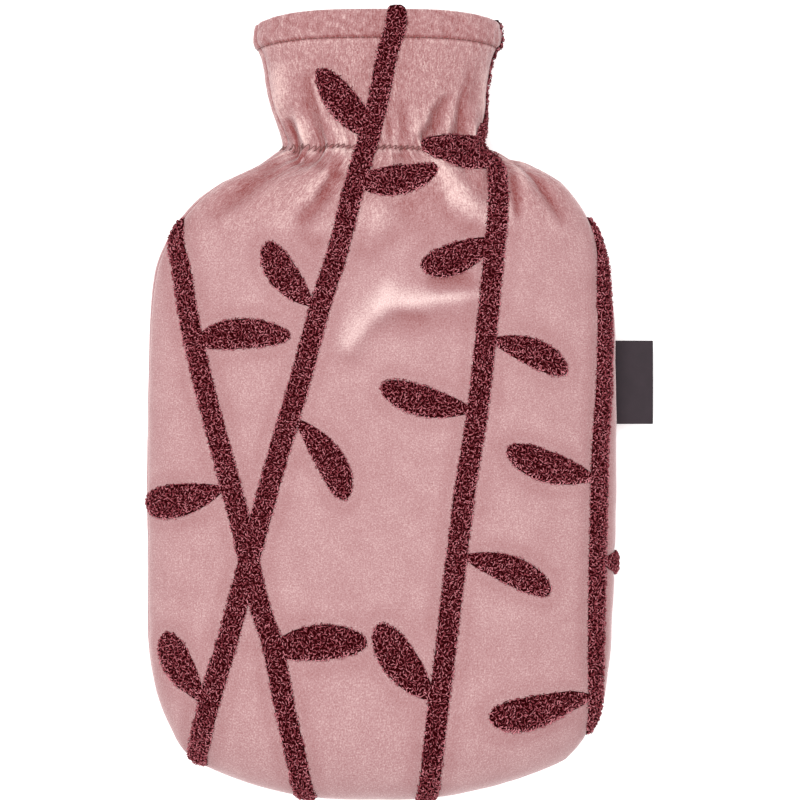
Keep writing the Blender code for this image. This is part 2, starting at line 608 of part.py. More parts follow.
def main():
    for old in list(bpy.data.objects):
        bpy.data.objects.remove(old)
    stations = row_stations()
    for name, columns in (("front_panel", front_columns), ("back_panel", back_columns)):
        add_piece(name, panel_mesh(name, columns, stations), VELOUR)
    face = FrontFace(stations)
    for name, stems in VINES.items():
        add_piece(name, embroidery_mesh(name, stems, face), LOOPED_YARN)
    add_piece("side_tab", tab_mesh("side_tab"), RIBBON)


main()
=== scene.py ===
"""The looks of a gathered-neck velour cover for a hot water bottle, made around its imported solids.

A place on the cloth has two coordinates, both in metres. "across" is measured round the body from the
middle of the front, to the right positive, and "along" is measured up the front. "lift" is a distance
off the cloth's outer face.
"""

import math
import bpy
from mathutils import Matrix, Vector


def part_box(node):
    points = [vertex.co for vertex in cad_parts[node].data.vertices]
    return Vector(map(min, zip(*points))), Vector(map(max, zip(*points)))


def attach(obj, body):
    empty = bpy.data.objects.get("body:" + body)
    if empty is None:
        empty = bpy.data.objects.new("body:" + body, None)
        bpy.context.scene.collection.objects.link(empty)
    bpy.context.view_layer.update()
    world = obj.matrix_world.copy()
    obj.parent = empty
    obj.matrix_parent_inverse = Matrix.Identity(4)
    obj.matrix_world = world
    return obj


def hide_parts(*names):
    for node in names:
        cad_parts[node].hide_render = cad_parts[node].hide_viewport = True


bl_info = {
    "name": "Hot water bottle cover",
    "version": (1, 0, 0),
    "blender": (4, 5, 0),
    "location": "3D View > Sidebar > Cover",
    "description": "Velour panels, yarn vines, stitching and side tab of a hot water bottle cover",
    "category": "Add Mesh",
}

import bpy
import numpy as np
from bpy.props import FloatProperty, FloatVectorProperty, PointerProperty
from bpy.types import Operator, Panel, PropertyGroup
from mathutils.geometry import delaunay_2d_cdt

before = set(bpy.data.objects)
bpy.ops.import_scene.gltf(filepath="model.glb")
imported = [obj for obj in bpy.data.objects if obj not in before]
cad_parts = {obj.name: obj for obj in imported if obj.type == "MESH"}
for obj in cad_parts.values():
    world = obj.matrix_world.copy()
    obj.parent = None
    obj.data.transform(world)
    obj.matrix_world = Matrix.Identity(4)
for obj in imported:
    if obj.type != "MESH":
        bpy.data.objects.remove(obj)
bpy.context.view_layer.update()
BODY = "root"
TINY = 1e-12
TENTHS_OF_MM = 10000  # in a metre


def metres(*rows, plain=0):
    """A table in metres, from one in tenths of a millimetre. Words and the last, plain columns stay."""
    return [
        [n if isinstance(n, str) or k >= len(row) - plain else n / TENTHS_OF_MM for k, n in enumerate(row)]
        for row in rows
    ]


# The cover's sections, from the bottom corners up to the rim. left and right are the half widths, crown
# and depth the heights above and below the widest line, and the last two say how square the section is.
SECTION_COLUMNS = ("along", "left", "right", "crown", "depth", "front_square", "back_square")
SECTIONS = metres(
    (-1540, 834, 812, 285, 250, 2.9, 3.6),
    (-1440, 900, 890, 287, 250, 2.9, 3.6),
    (-1250, 980, 972, 290, 250, 2.9, 3.6),
    (-1000, 1014, 1000, 292, 250, 2.9, 3.6),
    (-300, 1018, 1020, 292, 250, 2.9, 3.6),
    (300, 1008, 1014, 284, 250, 2.8, 3.6),
    (560, 986, 988, 272, 246, 2.7, 3.4),
    (720, 928, 938, 260, 240, 2.5, 3.0),
    (860, 826, 864, 246, 230, 2.4, 2.7),
    (960, 706, 780, 234, 220, 2.3, 2.5),
    (1040, 545, 640, 222, 210, 2.2, 2.3),
    (1090, 462, 510, 214, 204, 2.1, 2.2),
    (1125, 430, 458, 210, 200, 2.1, 2.2),
    (1180, 445, 448, 214, 203, 2.1, 2.2),
    (1340, 494, 454, 224, 209, 2.2, 2.2),
    (1530, 524, 485, 232, 214, 2.3, 2.3),
    (1610, 556, 515, 235, 216, 2.3, 2.3),
    (1690, 548, 510, 236, 216, 2.3, 2.3),
    plain=2,
)
LOWEST = dict(zip(SECTION_COLUMNS, SECTIONS[0]))
HIGHEST = dict(zip(SECTION_COLUMNS, SECTIONS[-1]))
CORNER = LOWEST["along"]
RIM = HIGHEST["along"]
GATHER = 0.1125  # the narrowest row
ELASTIC = 0.1096  # the row of elastic and its zigzag
ELASTIC_RISE = 0.0020  # how far the row's ends stand higher than its middle
HEM_STITCH = 0.1567
SEAM_LEVEL = 0.0230  # the height of the cover's widest line
RIM_DROOP = 0.0045  # at the rim's sides
DROOP_SQUARE = 4
BOTTOM_SAG = 0.0182  # how far the bottom edge's middle bulges past its corners
SAG_SQUARE = {"left": 2.6, "right": 2.2}  # how long the bulge stays full on each side
SAG_FADE = 0.090
ROLL_INSET = 0.040  # the bottom edge's roll from front to back
ROLL_HEIGHT = 0.0285
ROLL_SQUARE = 2.4
CORNER_REACH = 0.008
SEAM_SHIFT = {"left": -0.0060, "right": 0.0080}  # from the widest line towards the back
SEAM_GAP = 0.0001
ROUND_STEPS = 241  # points on a quarter of a section

# Folds: each runs from its first point to its second and fades out. height is negative for a trough.
FOLD_COLUMNS = ("across", "along", "end_across", "end_along", "spread", "height")
FOLD_END_SHARE = 0.3
MAIN_FOLDS = metres(
    # up the front of the collar
    (-409, 1102, -431, 1243, 28, -30),
    (-346, 1099, -375, 1308, 26, 16),
    (-275, 1097, -334, 1271, 25, -24),
    (-204, 1096, -305, 1325, 26, 18),
    (167, 1164, 237, 1310, 26, 14),
    (202, 1147, 291, 1321, 28, -26),
    (348, 1134, 362, 1317, 25, -24),
    (400, 1110, 425, 1255, 20, 16),
    (500, 1112, 540, 1215, 36, -20),
    # down the front's shoulders
    (-319, 1072, -648, 874, 40, -28),
    (-160, 1043, -334, 845, 32, 24),
    (-193, 965, -347, 776, 32, -26),
    (261, 1008, 432, 802, 41, 28),
    (517, 1021, 388, 716, 34, -16),
    (560, 1060, 589, 847, 28, -24),
    (587, 1051, 651, 852, 30, 14),
    (628, 1044, 763, 850, 30, -24),
    (46, 1077, -22, 809, 38, 16),
    (98, 1042, 80, 715, 51, -16),
    # the bent crease on the front
    (-137, 237, -5, 403, 38, 22),
    (-5, 403, 422, 446, 38, 24),
    (-39, 292, 379, 331, 47, -10),
    # down the back from the neck
    (-620, 1110, -1000, 900, 42, -24),
    (-750, 1120, -1260, 880, 44, -26),
    (-900, 1110, -1520, 890, 40, -22),
    (770, 1110, 1130, 890, 44, -26),
    (890, 1120, 1370, 880, 42, -22),
    (1010, 1110, 1640, 900, 40, -24),
    # up the back of the collar
    (-660, 1130, -720, 1290, 40, -22),
    (-870, 1130, -940, 1320, 40, -20),
    (800, 1130, 810, 1310, 40, -22),
    (980, 1130, 990, 1280, 40, -18),
)
# Fine folds of the front. They fade out at both ends. tone is painted light: 1 where a fold carries a
# quite pale painted highlight and -1 where it carries quite dark painted shade, and it gives the fold's
# height, a ridge or a trough, too.
FINE_COLUMNS = ("across", "along", "end_across", "end_along", "spread", "tone")
FINE_RISE = 0.42  # height for each unit of spread and tone
FINE_FADE = 0.6
FINE_FOLDS = metres(
    # up the collar, from its left side to its right one
    (-464, 1220, -457, 1491, 34, 0.80),
    (-354, 1055, -434, 1243, 26, -0.75),
    (-431, 1221, -392, 1124, 16, -0.90),
    (-365, 1217, -313, 1098, 13, 0.75),
    (-300, 1062, -375, 1230, 11, 0.75),
    (-360, 1221, -456, 1258, 11, 0.45),
    (-256, 1061, -359, 1255, 12, 0.65),
    (-230, 1087, -354, 1427, 34, -0.60),
    (-208, 1087, -283, 1269, 8, -1.00),
    (-275, 1243, -327, 1425, 9, -0.85),
    (-117, 1086, -239, 1225, 17, 0.80),
    (-230, 1208, -309, 1407, 15, 0.80),
    (8, 1068, 12, 1231, 10, 0.45),
    (29, 1068, 29, 1248, 9, -0.90),
    (63, 1068, 63, 1231, 12, 0.50),
    (98, 1060, 89, 1316, 14, -0.85),
    (140, 1077, 141, 1283, 12, 0.45),
    (171, 1164, 215, 1263, 13, 0.45),
    (215, 1263, 282, 1342, 14, 0.45),
    (176, 1138, 264, 1328, 11, -0.90),
    (228, 1156, 309, 1339, 24, -0.90),
    (273, 1158, 328, 1366, 22, 0.62),
    (337, 1116, 362, 1343, 15, -1.30),
    (363, 1308, 400, 1467, 12, -0.60),
    (384, 1109, 385, 1197, 7, -0.50),
    (406, 1172, 426, 1488, 22, -0.50),
    (421, 1110, 424, 1208, 8, 0.60),
    (452, 1139, 466, 1202, 9, -0.50),
    (496, 1205, 493, 1480, 22, 0.60),
    # down the left shoulder
    (-410, 1084, -631, 900, 26, -0.90),
    (-562, 952, -754, 789, 34, -0.80),
    (-404, 1102, -307, 1018, 22, -1.20),
    (-311, 1080, -237, 1000, 18, -1.20),
    (-151, 1051, -330, 853, 24, 1.00),
    (-270, 913, -502, 716, 36, 0.30),
    (-168, 1060, -270, 870, 17, -1.70),
    (-227, 939, -347, 758, 28, -1.00),
    (-138, 1086, -176, 913, 12, 0.20),
    (-390, 776, -252, 655, 26, -0.45),
    (-287, 733, -176, 784, 22, 0.35),
    (-610, 847, -803, 659, 50, 0.10),
    # down the middle and the right shoulder
    (-82, 870, 29, 715, 52, 0.40),
    (-99, 604, 80, 758, 42, -0.30),
    (80, 887, 251, 698, 50, -0.35),
    (227, 1052, 329, 836, 30, 0.90),
    (277, 896, 483, 776, 34, 0.70),
    (209, 939, 303, 767, 26, -0.35),
    (286, 793, 457, 716, 24, -0.40),
    (338, 1009, 449, 871, 22, -0.35),
    (463, 1033, 468, 958, 12, -0.80),
    (243, 1017, 444, 1024, 8, -0.60),
    (573, 1060, 588, 777, 12, -1.25),
    (546, 898, 566, 751, 16, 0.45),
    (604, 1072, 778, 789, 13, 0.35),
    (630, 1062, 805, 763, 17, -1.30),
    (671, 1008, 927, 705, 40, -0.15),
    # round the bent crease
    (-22, 476, 234, 424, 32, 0.50),
    (80, 433, 473, 472, 15, 0.54),
    (12, 544, 38, 407, 32, 0.40),
    (55, 450, -167, 245, 48, 0.52),
    (12, 390, 208, 365, 16, -0.50),
    (46, 330, 379, 348, 44, -0.22),
    (-141, 211, 29, 373, 20, -0.32),
    (191, 480, 448, 510, 18, -0.42),
    (187, 530, 396, 546, 20, -1.20),
    plain=1,
)

# The embroidery's stems, each from its top down.
STEMS = {
    "crossing": metres(
        (70, 1690), (64, 1620), (29, 1508), (-5, 1333), (-44, 1167), (-124, 896), (-187, 642), (-247, 459),
        (-353, 70), (-422, -159), (-555, -637), (-650, -979), (-720, -1191), (-762, -1335), (-798, -1510),
        (-806, -1625),
    ),
    "left": metres(
        (-930, 812), (-912, 700), (-868, 565), (-836, 388), (-786, 169), (-697, -160), (-603, -505),
        (-521, -853), (-463, -1013), (-405, -1253), (-366, -1390), (-318, -1675),
    ),
    "middle": metres(
        (676, 1690), (686, 1627), (660, 1508), (627, 1380), (606, 1275), (556, 1210), (492, 1168),
        (480, 1125), (505, 1082), (508, 1007), (503, 863), (487, 686), (452, 339), (409, -44), (356, -377),
        (313, -726), (279, -995), (231, -1303), (188, -1675),
    ),
    "right": metres(
        (1012, 812), (1010, 695), (993, 515), (987, 166), (963, -161), (952, -423), (943, -951),
        (950, -1290), (962, -1390), (972, -1450),
    ),
}
# Each leaf grows from its base on the stem to its tip. bow is how far its middle swells to its left, and
# taper says how slim its base is.
LEAF_COLUMNS = ("stem", "across", "along", "tip_across", "tip_along", "width", "bow", "taper")
LEAVES = metres(
    ("crossing", -54, 1158, -271, 1431, 132, 5, 0.45),
    ("crossing", -86, 942, 239, 1002, 124, -14, 0.40),
    ("crossing", -290, 414, -494, 684, 128, 20, 0.75),
    ("crossing", -370, -60, -146, -405, 124, 28, 0.85),
    ("crossing", -766, -1262, -952, -989, 145, 14, 0.75),
    ("left", -785, 272, -388, 288, 126, 18, 0.40),
    ("left", -665, -358, -1070, -434, 140, 18, 0.80),
    ("left", -452, -1022, -60, -996, 124, 14, 0.45),
    ("middle", 500, 1075, 172, 1113, 146, 8, 0.28),
    ("middle", 480, 703, 174, 578, 132, 16, 0.70),
    ("middle", 465, 273, 800, 135, 118, 20, 0.75),
    ("middle", 395, -29, 0, 74, 128, 17, 0.75),
    ("middle", 338, -650, 724, -806, 122, 24, 0.80),
    ("middle", 230, -1196, -23, -939, 140, 11, 0.80),
    ("right", 935, -320, 537, -196, 132, 18, 0.75),
    ("right", 930, -1258, 462, -1269, 130, 20, 0.75),
    ("right", 959, -680, 1240, -694, 92, 0, 0.75),
    plain=1,
)
LEAF_TIP = 0.5
VINES = {
    "vines_crossed": ("crossing", "left"),
    "vine_middle": ("middle",),
    "vine_right": ("right",),
}


# Sizes and colours that a user would change


class CoverCloth(PropertyGroup):
    wall: FloatProperty(
        name="Thickness", description="Thickness of the velour", default=0.0018, unit="LENGTH")
    hem_wall: FloatProperty(
        name="Hem thickness", description="Thickness of the turned hem", default=0.0030, unit="LENGTH")
    crimp: FloatProperty(
        name="Crimp height", description="Height of the crimps at the elastic", default=0.0009,
        unit="LENGTH")
    crimp_spacing: FloatProperty(
        name="Crimp spacing", description="Distance from crimp to crimp at the elastic",
        default=0.0034, unit="LENGTH")
    ripple: FloatProperty(
        name="Ripple", description="Height of the soft unevenness of the cloth", default=0.0004,
        unit="LENGTH")
    lumps: FloatProperty(
        name="Lumps", description="Height of the small lumps in the hem", default=0.0004,
        unit="LENGTH")
    # The palest colour: pale pile, and the painted highlights on ridges and on slopes that face the rim.
    pale_pile_and_highlight: FloatVectorProperty(
        name="Brushed colour", description="Colour of the pile where it stands up",
        subtype="COLOR", size=3, min=0, max=1, default=(0.800, 0.600, 0.575))
    plain: FloatVectorProperty(
        name="Plain colour", description="Colour of the pile",
        subtype="COLOR", size=3, min=0, max=1, default=(0.410, 0.229, 0.236))
    # The darkest colour: dark pile, and the painted shade in hollows, creases and beside the yarn.
    dark_pile_and_shade: FloatVectorProperty(
        name="Pressed colour", description="Colour of the pile where it lies flat",
        subtype="COLOR", size=3, min=0, max=1, default=(0.225, 0.060, 0.060))
    sheen: FloatProperty(
        name="Sheen", description="Strength of the pile's soft sheen", default=0.60, min=0, max=1)


class CoverYarn(PropertyGroup):
    stem_width: FloatProperty(
        name="Stem width", description="Width of an embroidered stem", default=0.0086, unit="LENGTH")
    edge: FloatProperty(
        name="Edge height", description="Height of the yarn's bed at an outline", default=0.0004,
        unit="LENGTH")
    crown: FloatProperty(
        name="Middle height", description="Height of the yarn's bed inside its outline",
        default=0.0012, unit="LENGTH")
    spacing: FloatProperty(
        name="Loop spacing", description="Distance from loop to loop", default=0.00107, unit="LENGTH")
    loop: FloatProperty(
        name="Loop height", description="Height of a loop over its bed", default=0.0011, unit="LENGTH")
    radius: FloatProperty(
        name="Yarn radius", description="Radius of the yarn in a loop", default=0.00026, unit="LENGTH")
    # The darkest yarn colour, used as painted shade on the bed between the loops and at their feet.
    dark: FloatVectorProperty(
        name="Dark yarn", description="Colour between the loops of yarn",
        subtype="COLOR", size=3, min=0, max=1, default=(0.024, 0.0003, 0.0010))
    middle: FloatVectorProperty(
        name="Yarn", description="Colour of the yarn",
        subtype="COLOR", size=3, min=0, max=1, default=(0.250, 0.044, 0.058))
    light: FloatVectorProperty(
        name="Light yarn", description="Lightest colour of the yarn",
        subtype="COLOR", size=3, min=0, max=1, default=(0.630, 0.235, 0.268))


class CoverTrim(PropertyGroup):
    thread_radius: FloatProperty(
        name="Thread radius", description="Radius of the sewing thread", default=0.00020,
        unit="LENGTH")
    thread: FloatVectorProperty(
        name="Thread", description="Colour of the sewing thread",
        subtype="COLOR", size=3, min=0, max=1, default=(0.175, 0.062, 0.056))
    ply: FloatProperty(
        name="Ribbon thickness", description="Thickness of one ply of the tab", default=0.0005,
        unit="LENGTH")
    ribbon: FloatVectorProperty(
        name="Ribbon", description="Colour of the tab's ribbon",
        subtype="COLOR", size=3, min=0, max=1, default=(0.029, 0.0185, 0.0245))


class CoverStage(PropertyGroup):
    floor: FloatVectorProperty(
        name="Floor", description="Colour of the floor",
        subtype="COLOR", size=3, min=0, max=1, default=(0.90, 0.90, 0.90))
    distance: FloatProperty(
        name="Camera height", description="Height of the camera over the floor", default=1.40,
        unit="LENGTH")
    view_width: FloatProperty(
        name="View width", description="Width of the picture at the cover's widest line",
        default=0.348, unit="LENGTH")
    key: FloatProperty(
        name="Key light", description="Power of the large soft light", default=22.0, unit="POWER")
    sky: FloatProperty(
        name="Room light", description="Strength of the even light from all around", default=0.66)
    glow: FloatProperty(
        name="Floor glow", description="Strength of the light through the floor", default=0.40)


# The cloth's surface


def smooth_through(knots, values, at):
    """A curve through the given points that doesn't swing past them."""
    knots, values = np.asarray(knots, float), np.asarray(values, float)
    step = np.diff(knots)
    slope = np.diff(values) / step
    tangent = np.zeros(len(knots))
    same_way = slope[:-1] * slope[1:] > 0
    product = np.where(same_way, 2 * slope[:-1] * slope[1:], 0.0)
    tangent[1:-1] = product / np.where(same_way, slope[:-1] + slope[1:], 1.0)
    tangent[0], tangent[-1] = slope[0], slope[-1]
    at = np.clip(at, knots[0], knots[-1])
    k = np.clip(np.searchsorted(knots, at, side="right") - 1, 0, len(step) - 1)
    t = (at - knots[k]) / step[k]
    return (
        values[k] * (1 + 2 * t) * (1 - t) ** 2
        + values[k + 1] * t * t * (3 - 2 * t)
        + step[k] * (tangent[k] * t * (1 - t) ** 2 - tangent[k + 1] * t * t * (1 - t))
    )


def smooth_step(value):
    """Eases from 0 to 1."""
    share = np.clip(value, 0.0, 1.0)
    return share * share * (3 - 2 * share)


def hump(distance, spread):
    """1 at no distance, and less and less over the spread and past it."""
    return np.exp(-((distance / spread) ** 2))


def unit(vectors):
    """The vectors' directions."""
    return vectors / np.maximum(np.linalg.norm(vectors, axis=-1, keepdims=True), TINY)


def section(column, along):
    """One column of the sections' table at any height along the cover."""
    return smooth_through(
        *([row[SECTION_COLUMNS.index(name)] for row in SECTIONS] for name in ("along", column)), along
    )


def quarter(width, height, square):
    """A quarter of a rounded section, from its crown to its widest line."""
    turn = np.linspace(0.0, math.pi / 2, ROUND_STEPS)
    power = 2.0 / square
    return width * np.sin(turn) ** power, height * np.cos(turn) ** power


def running_length(first, second):
    """The length along a line of points, from its start."""
    return np.concatenate([[0.0], np.cumsum(np.hypot(np.diff(first), np.diff(second)))])


def bottom_roll():
    """The bottom edge's roll, from its seam inwards: length of cloth, inset, share of full height."""
    inwards, high = quarter(ROLL_INSET, ROLL_HEIGHT, ROLL_SQUARE)
    inset = ROLL_INSET - inwards[::-1]
    return running_length(inset, high[::-1]), inset, high[::-1] / ROLL_HEIGHT


ROLL_LENGTH, ROLL_IN, ROLL_SHARE = bottom_roll()
BOTTOM_SEAM = CORNER + ROLL_INSET - ROLL_LENGTH[-1]


def half_ring(along, side):
    """Half a section round the cover, from the front's middle: length of cloth, distance out and height
    at each point, then the section's level and the length of cloth up to the seam.
    """
    cloth = along - BOTTOM_SEAM
    share = np.interp(cloth, ROLL_LENGTH, ROLL_SHARE)
    level = CORNER + np.interp(cloth, ROLL_LENGTH, ROLL_IN) if cloth < ROLL_LENGTH[-1] else along
    width = section(side, level)
    out, up = quarter(width, section("crown", level) * share, section("front_square", level))
    under, down = quarter(width, section("depth", level) * share, section("back_square", level))
    out = np.concatenate([out, under[::-1]])
    high = np.concatenate([SEAM_LEVEL + SEAM_GAP / 2 + up, SEAM_LEVEL - SEAM_GAP / 2 - down[::-1]])
    high = np.maximum(high, 0.0)
    run = running_length(out, high)
    reach = smooth_step((along - BOTTOM_SEAM - CORNER_REACH) / ROLL_LENGTH[-1])
    return run, out, high, float(level), run[len(up) - 1] + SEAM_GAP / 2 + SEAM_SHIFT[side] * reach


def bottom_bulge(x, along):
    """How far a row near the bottom bends down to follow its edge, and the rim's sides droop."""
    reach = np.where(x < 0, LOWEST["left"], LOWEST["right"])
    square = np.where(x < 0, SAG_SQUARE["left"], SAG_SQUARE["right"])
    curve = BOTTOM_SAG * (1 - np.minimum(np.abs(x) / reach, 1.0) ** square)
    fade = smooth_step(1 - (along - BOTTOM_SEAM) / SAG_FADE)
    collar = np.clip((along - GATHER) / (RIM - GATHER), 0.0, 1.0)
    aside = np.minimum(np.abs(x) / HIGHEST["left"], 1.0)
    return curve * fade + RIM_DROOP * collar * aside**DROOP_SQUARE


def bare_row(along, across, rings):
    """One row of the cloth's outer face, before its folds."""
    row = np.empty((len(across), 3))
    for side, here in (("left", across < 0), ("right", across >= 0)):
        run, out, high, level, _ = rings[side]
        places = np.abs(across[here])
        x = np.interp(places, run, out) * (-1 if side == "left" else 1)
        z = np.interp(places, run, high)
        row[here] = np.stack([x, level - bottom_bulge(x, along), z], axis=1)
    return row


def beside_folds(table, columns, across, along):
    """Each fold of a table, how far along it each place lies, and how near to it, both from 0 to 1."""
    for row in table:
        fold = dict(zip(columns, row))
        run_x = fold["end_across"] - fold["across"]
        run_y = fold["end_along"] - fold["along"]
        from_x, from_y = across - fold["across"], along - fold["along"]
        t = np.clip((from_x * run_x + from_y * run_y) / (run_x**2 + run_y**2), 0.0, 1.0)
        apart = np.hypot(from_x - t * run_x, from_y - t * run_y) / fold["spread"]
        yield fold, t, np.exp(-apart * apart / 2)


def main_lift(across, along):
    """How far the main folds stand out or in at each place."""
    total = np.zeros(np.broadcast(across, along).shape)
    for fold, t, near in beside_folds(MAIN_FOLDS, FOLD_COLUMNS, across, along):
        total += fold["height"] * (1 - (1 - FOLD_END_SHARE) * t) * near
    return total


def fine_lift(across, along):
    """How far the fine folds stand out or in at each place, and the painted highlights and shade that they
    add to the pile's tone.
    """
    lift = np.zeros(np.broadcast(across, along).shape)
    tone = np.zeros_like(lift)
    for fold, t, near in beside_folds(FINE_FOLDS, FINE_COLUMNS, across, along):
        stroke = fold["tone"] * near * np.sin(math.pi * t) ** FINE_FADE
        tone += stroke
        lift += FINE_RISE * fold["spread"] * stroke
    return lift, tone


# The fine meshes: steps of rows and columns, in metres of cloth.
EDGE_PLACES = np.array((0.0, 0.12, 0.35, 0.65, 1.0))  # shares of an edge's rounding
EDGE_REACH = 0.0014
EDGE_ROUND = 0.47  # an edge's radius as a share of the wall
NECK_LOW = 0.078  # the rows lie closer above this
ROW_STEPS = {"front": (0.00138, 0.00078), "back": (0.0024, 0.0014)}
COLUMNS = {"front": 216, "back": 140}

# Small relief.
ELASTIC_DEPTH, ELASTIC_SPREAD = 0.0009, 0.0013
ZIGZAG_PITCH = 0.0025
ARC_PUFF = 0.0005  # the cloth puffs up between the zigzag's stitches
ARC_PLACE, ARC_SPREAD = 0.0007, 0.0008
CRIMP_PLACE = 0.35  # how far a crimp stands from its even place, as a share of the spacing
CRIMP_HEIGHTS = (0.45, 1.15)
CRIMP_SPREAD = (0.0007, 0.0012)
CRIMP_REACH = (0.005, 0.013)
CRIMP_SLANT = 0.10
CRIMP_FADE = 1.5
HEM_DEPTH, HEM_SPREAD, HEM_PUFF = 0.0005, 0.0007, 0.0003
PUCKER, PUCKER_SPACING, PUCKER_REACH = 0.00022, 0.0058, 0.0045
PUCKER_WANDER = ((1.7, 0.021, 1.3), (1.1, 0.0087, 0.0))  # waves of the puckers: turn, length and start
SEAM_TUCK, SEAM_SPREAD = 0.0007, 0.0016
RIPPLE_WAVES, RIPPLE_LENGTHS = 14, (0.014, 0.055)
LUMP_WAVES, LUMP_LENGTHS = 26, (0.0030, 0.0075)
LUMPS_ON_COLLAR = 0.35  # the share of the hem's lumps that shows in the cloth below it
LUMP_FADE = 0.0274  # they fade out below the elastic over this length
YARN_PRESS, YARN_PRESS_SPREAD = 0.0003, 0.0012  # the yarn's edges pull the cloth in
SEEDS = {"front": 11, "back": 12}

# How the relief paints light and shade into the pile's tone, which is 0 where it is plain, -1 at its
# darkest and 1 at its palest: painted highlights on ridges and on slopes that face the rim, painted shade
# in hollows. The factors are for a metre of height, a slope of 1 towards the rim, and a bend of 1 in a
# metre.
HEIGHT_TONE, SLOPE_TONE, BEND_TONE = 85.0, 0.85, 0.0006
TONE_LIMIT = 1.30
HEM_TONE, NECK_TONE = -0.22, -0.06
HEM_ROW_TONE, ELASTIC_ROW_TONE = -0.90, -0.30  # darker along the rows of stitches: painted shade in their grooves
STITCHED_SPREAD = 0.0007
YARN_SHADOW = -0.18  # painted shadow of the yarn on the pile a little off its outline
HALO_PLACE, HALO_SPREAD = 0.0030, 0.0025
COMBED_LOW, COMBED_FULL = 0.060, 0.104  # from here to here the pile gets combed along the folds
PLAIN_COMB = 0.22


def elastic_row(share):
    """Where the row of elastic runs at a share of a panel's width."""
    return ELASTIC + ELASTIC_RISE * (2 * share - 1) ** 2


def zigzag_arcs(share, width):
    """The arcs of the zigzag at shares of a panel's width, from 0 to 1."""
    return np.abs(np.sin(share * round(width / ZIGZAG_PITCH) * math.pi))


def edge_steps(start, end, count):
    """Places from one edge to the other, closest in the rounded edges."""
    rounding = EDGE_PLACES * EDGE_REACH
    middle = np.linspace(start + EDGE_REACH, end - EDGE_REACH, count - 2 * len(EDGE_PLACES) + 3)
    return np.concatenate([start + rounding, middle[1:-1], end - rounding[::-1]])


def row_places(panel):
    """The rows of a panel's fine mesh, an even number of steps from the bottom seam to the rim."""
    wide, close = ROW_STEPS[panel]
    rounding = EDGE_PLACES * EDGE_REACH
    low, high = BOTTOM_SEAM + EDGE_REACH, RIM - EDGE_REACH
    body = np.linspace(low, NECK_LOW, round((NECK_LOW - low) / wide / 2) * 2 + 1)
    neck = np.linspace(NECK_LOW, high, round((high - NECK_LOW) / close / 2) * 2 + 1)
    return np.concatenate([BOTTOM_SEAM + rounding, body[1:], neck[1:-1], RIM - rounding[::-1]])


def edge_drop(distance, radius):
    """How far a rounded edge falls away at a distance from it."""
    near = np.clip(radius - distance, 0.0, radius)
    return radius - np.sqrt(np.maximum(radius**2 - near**2, 0.0))


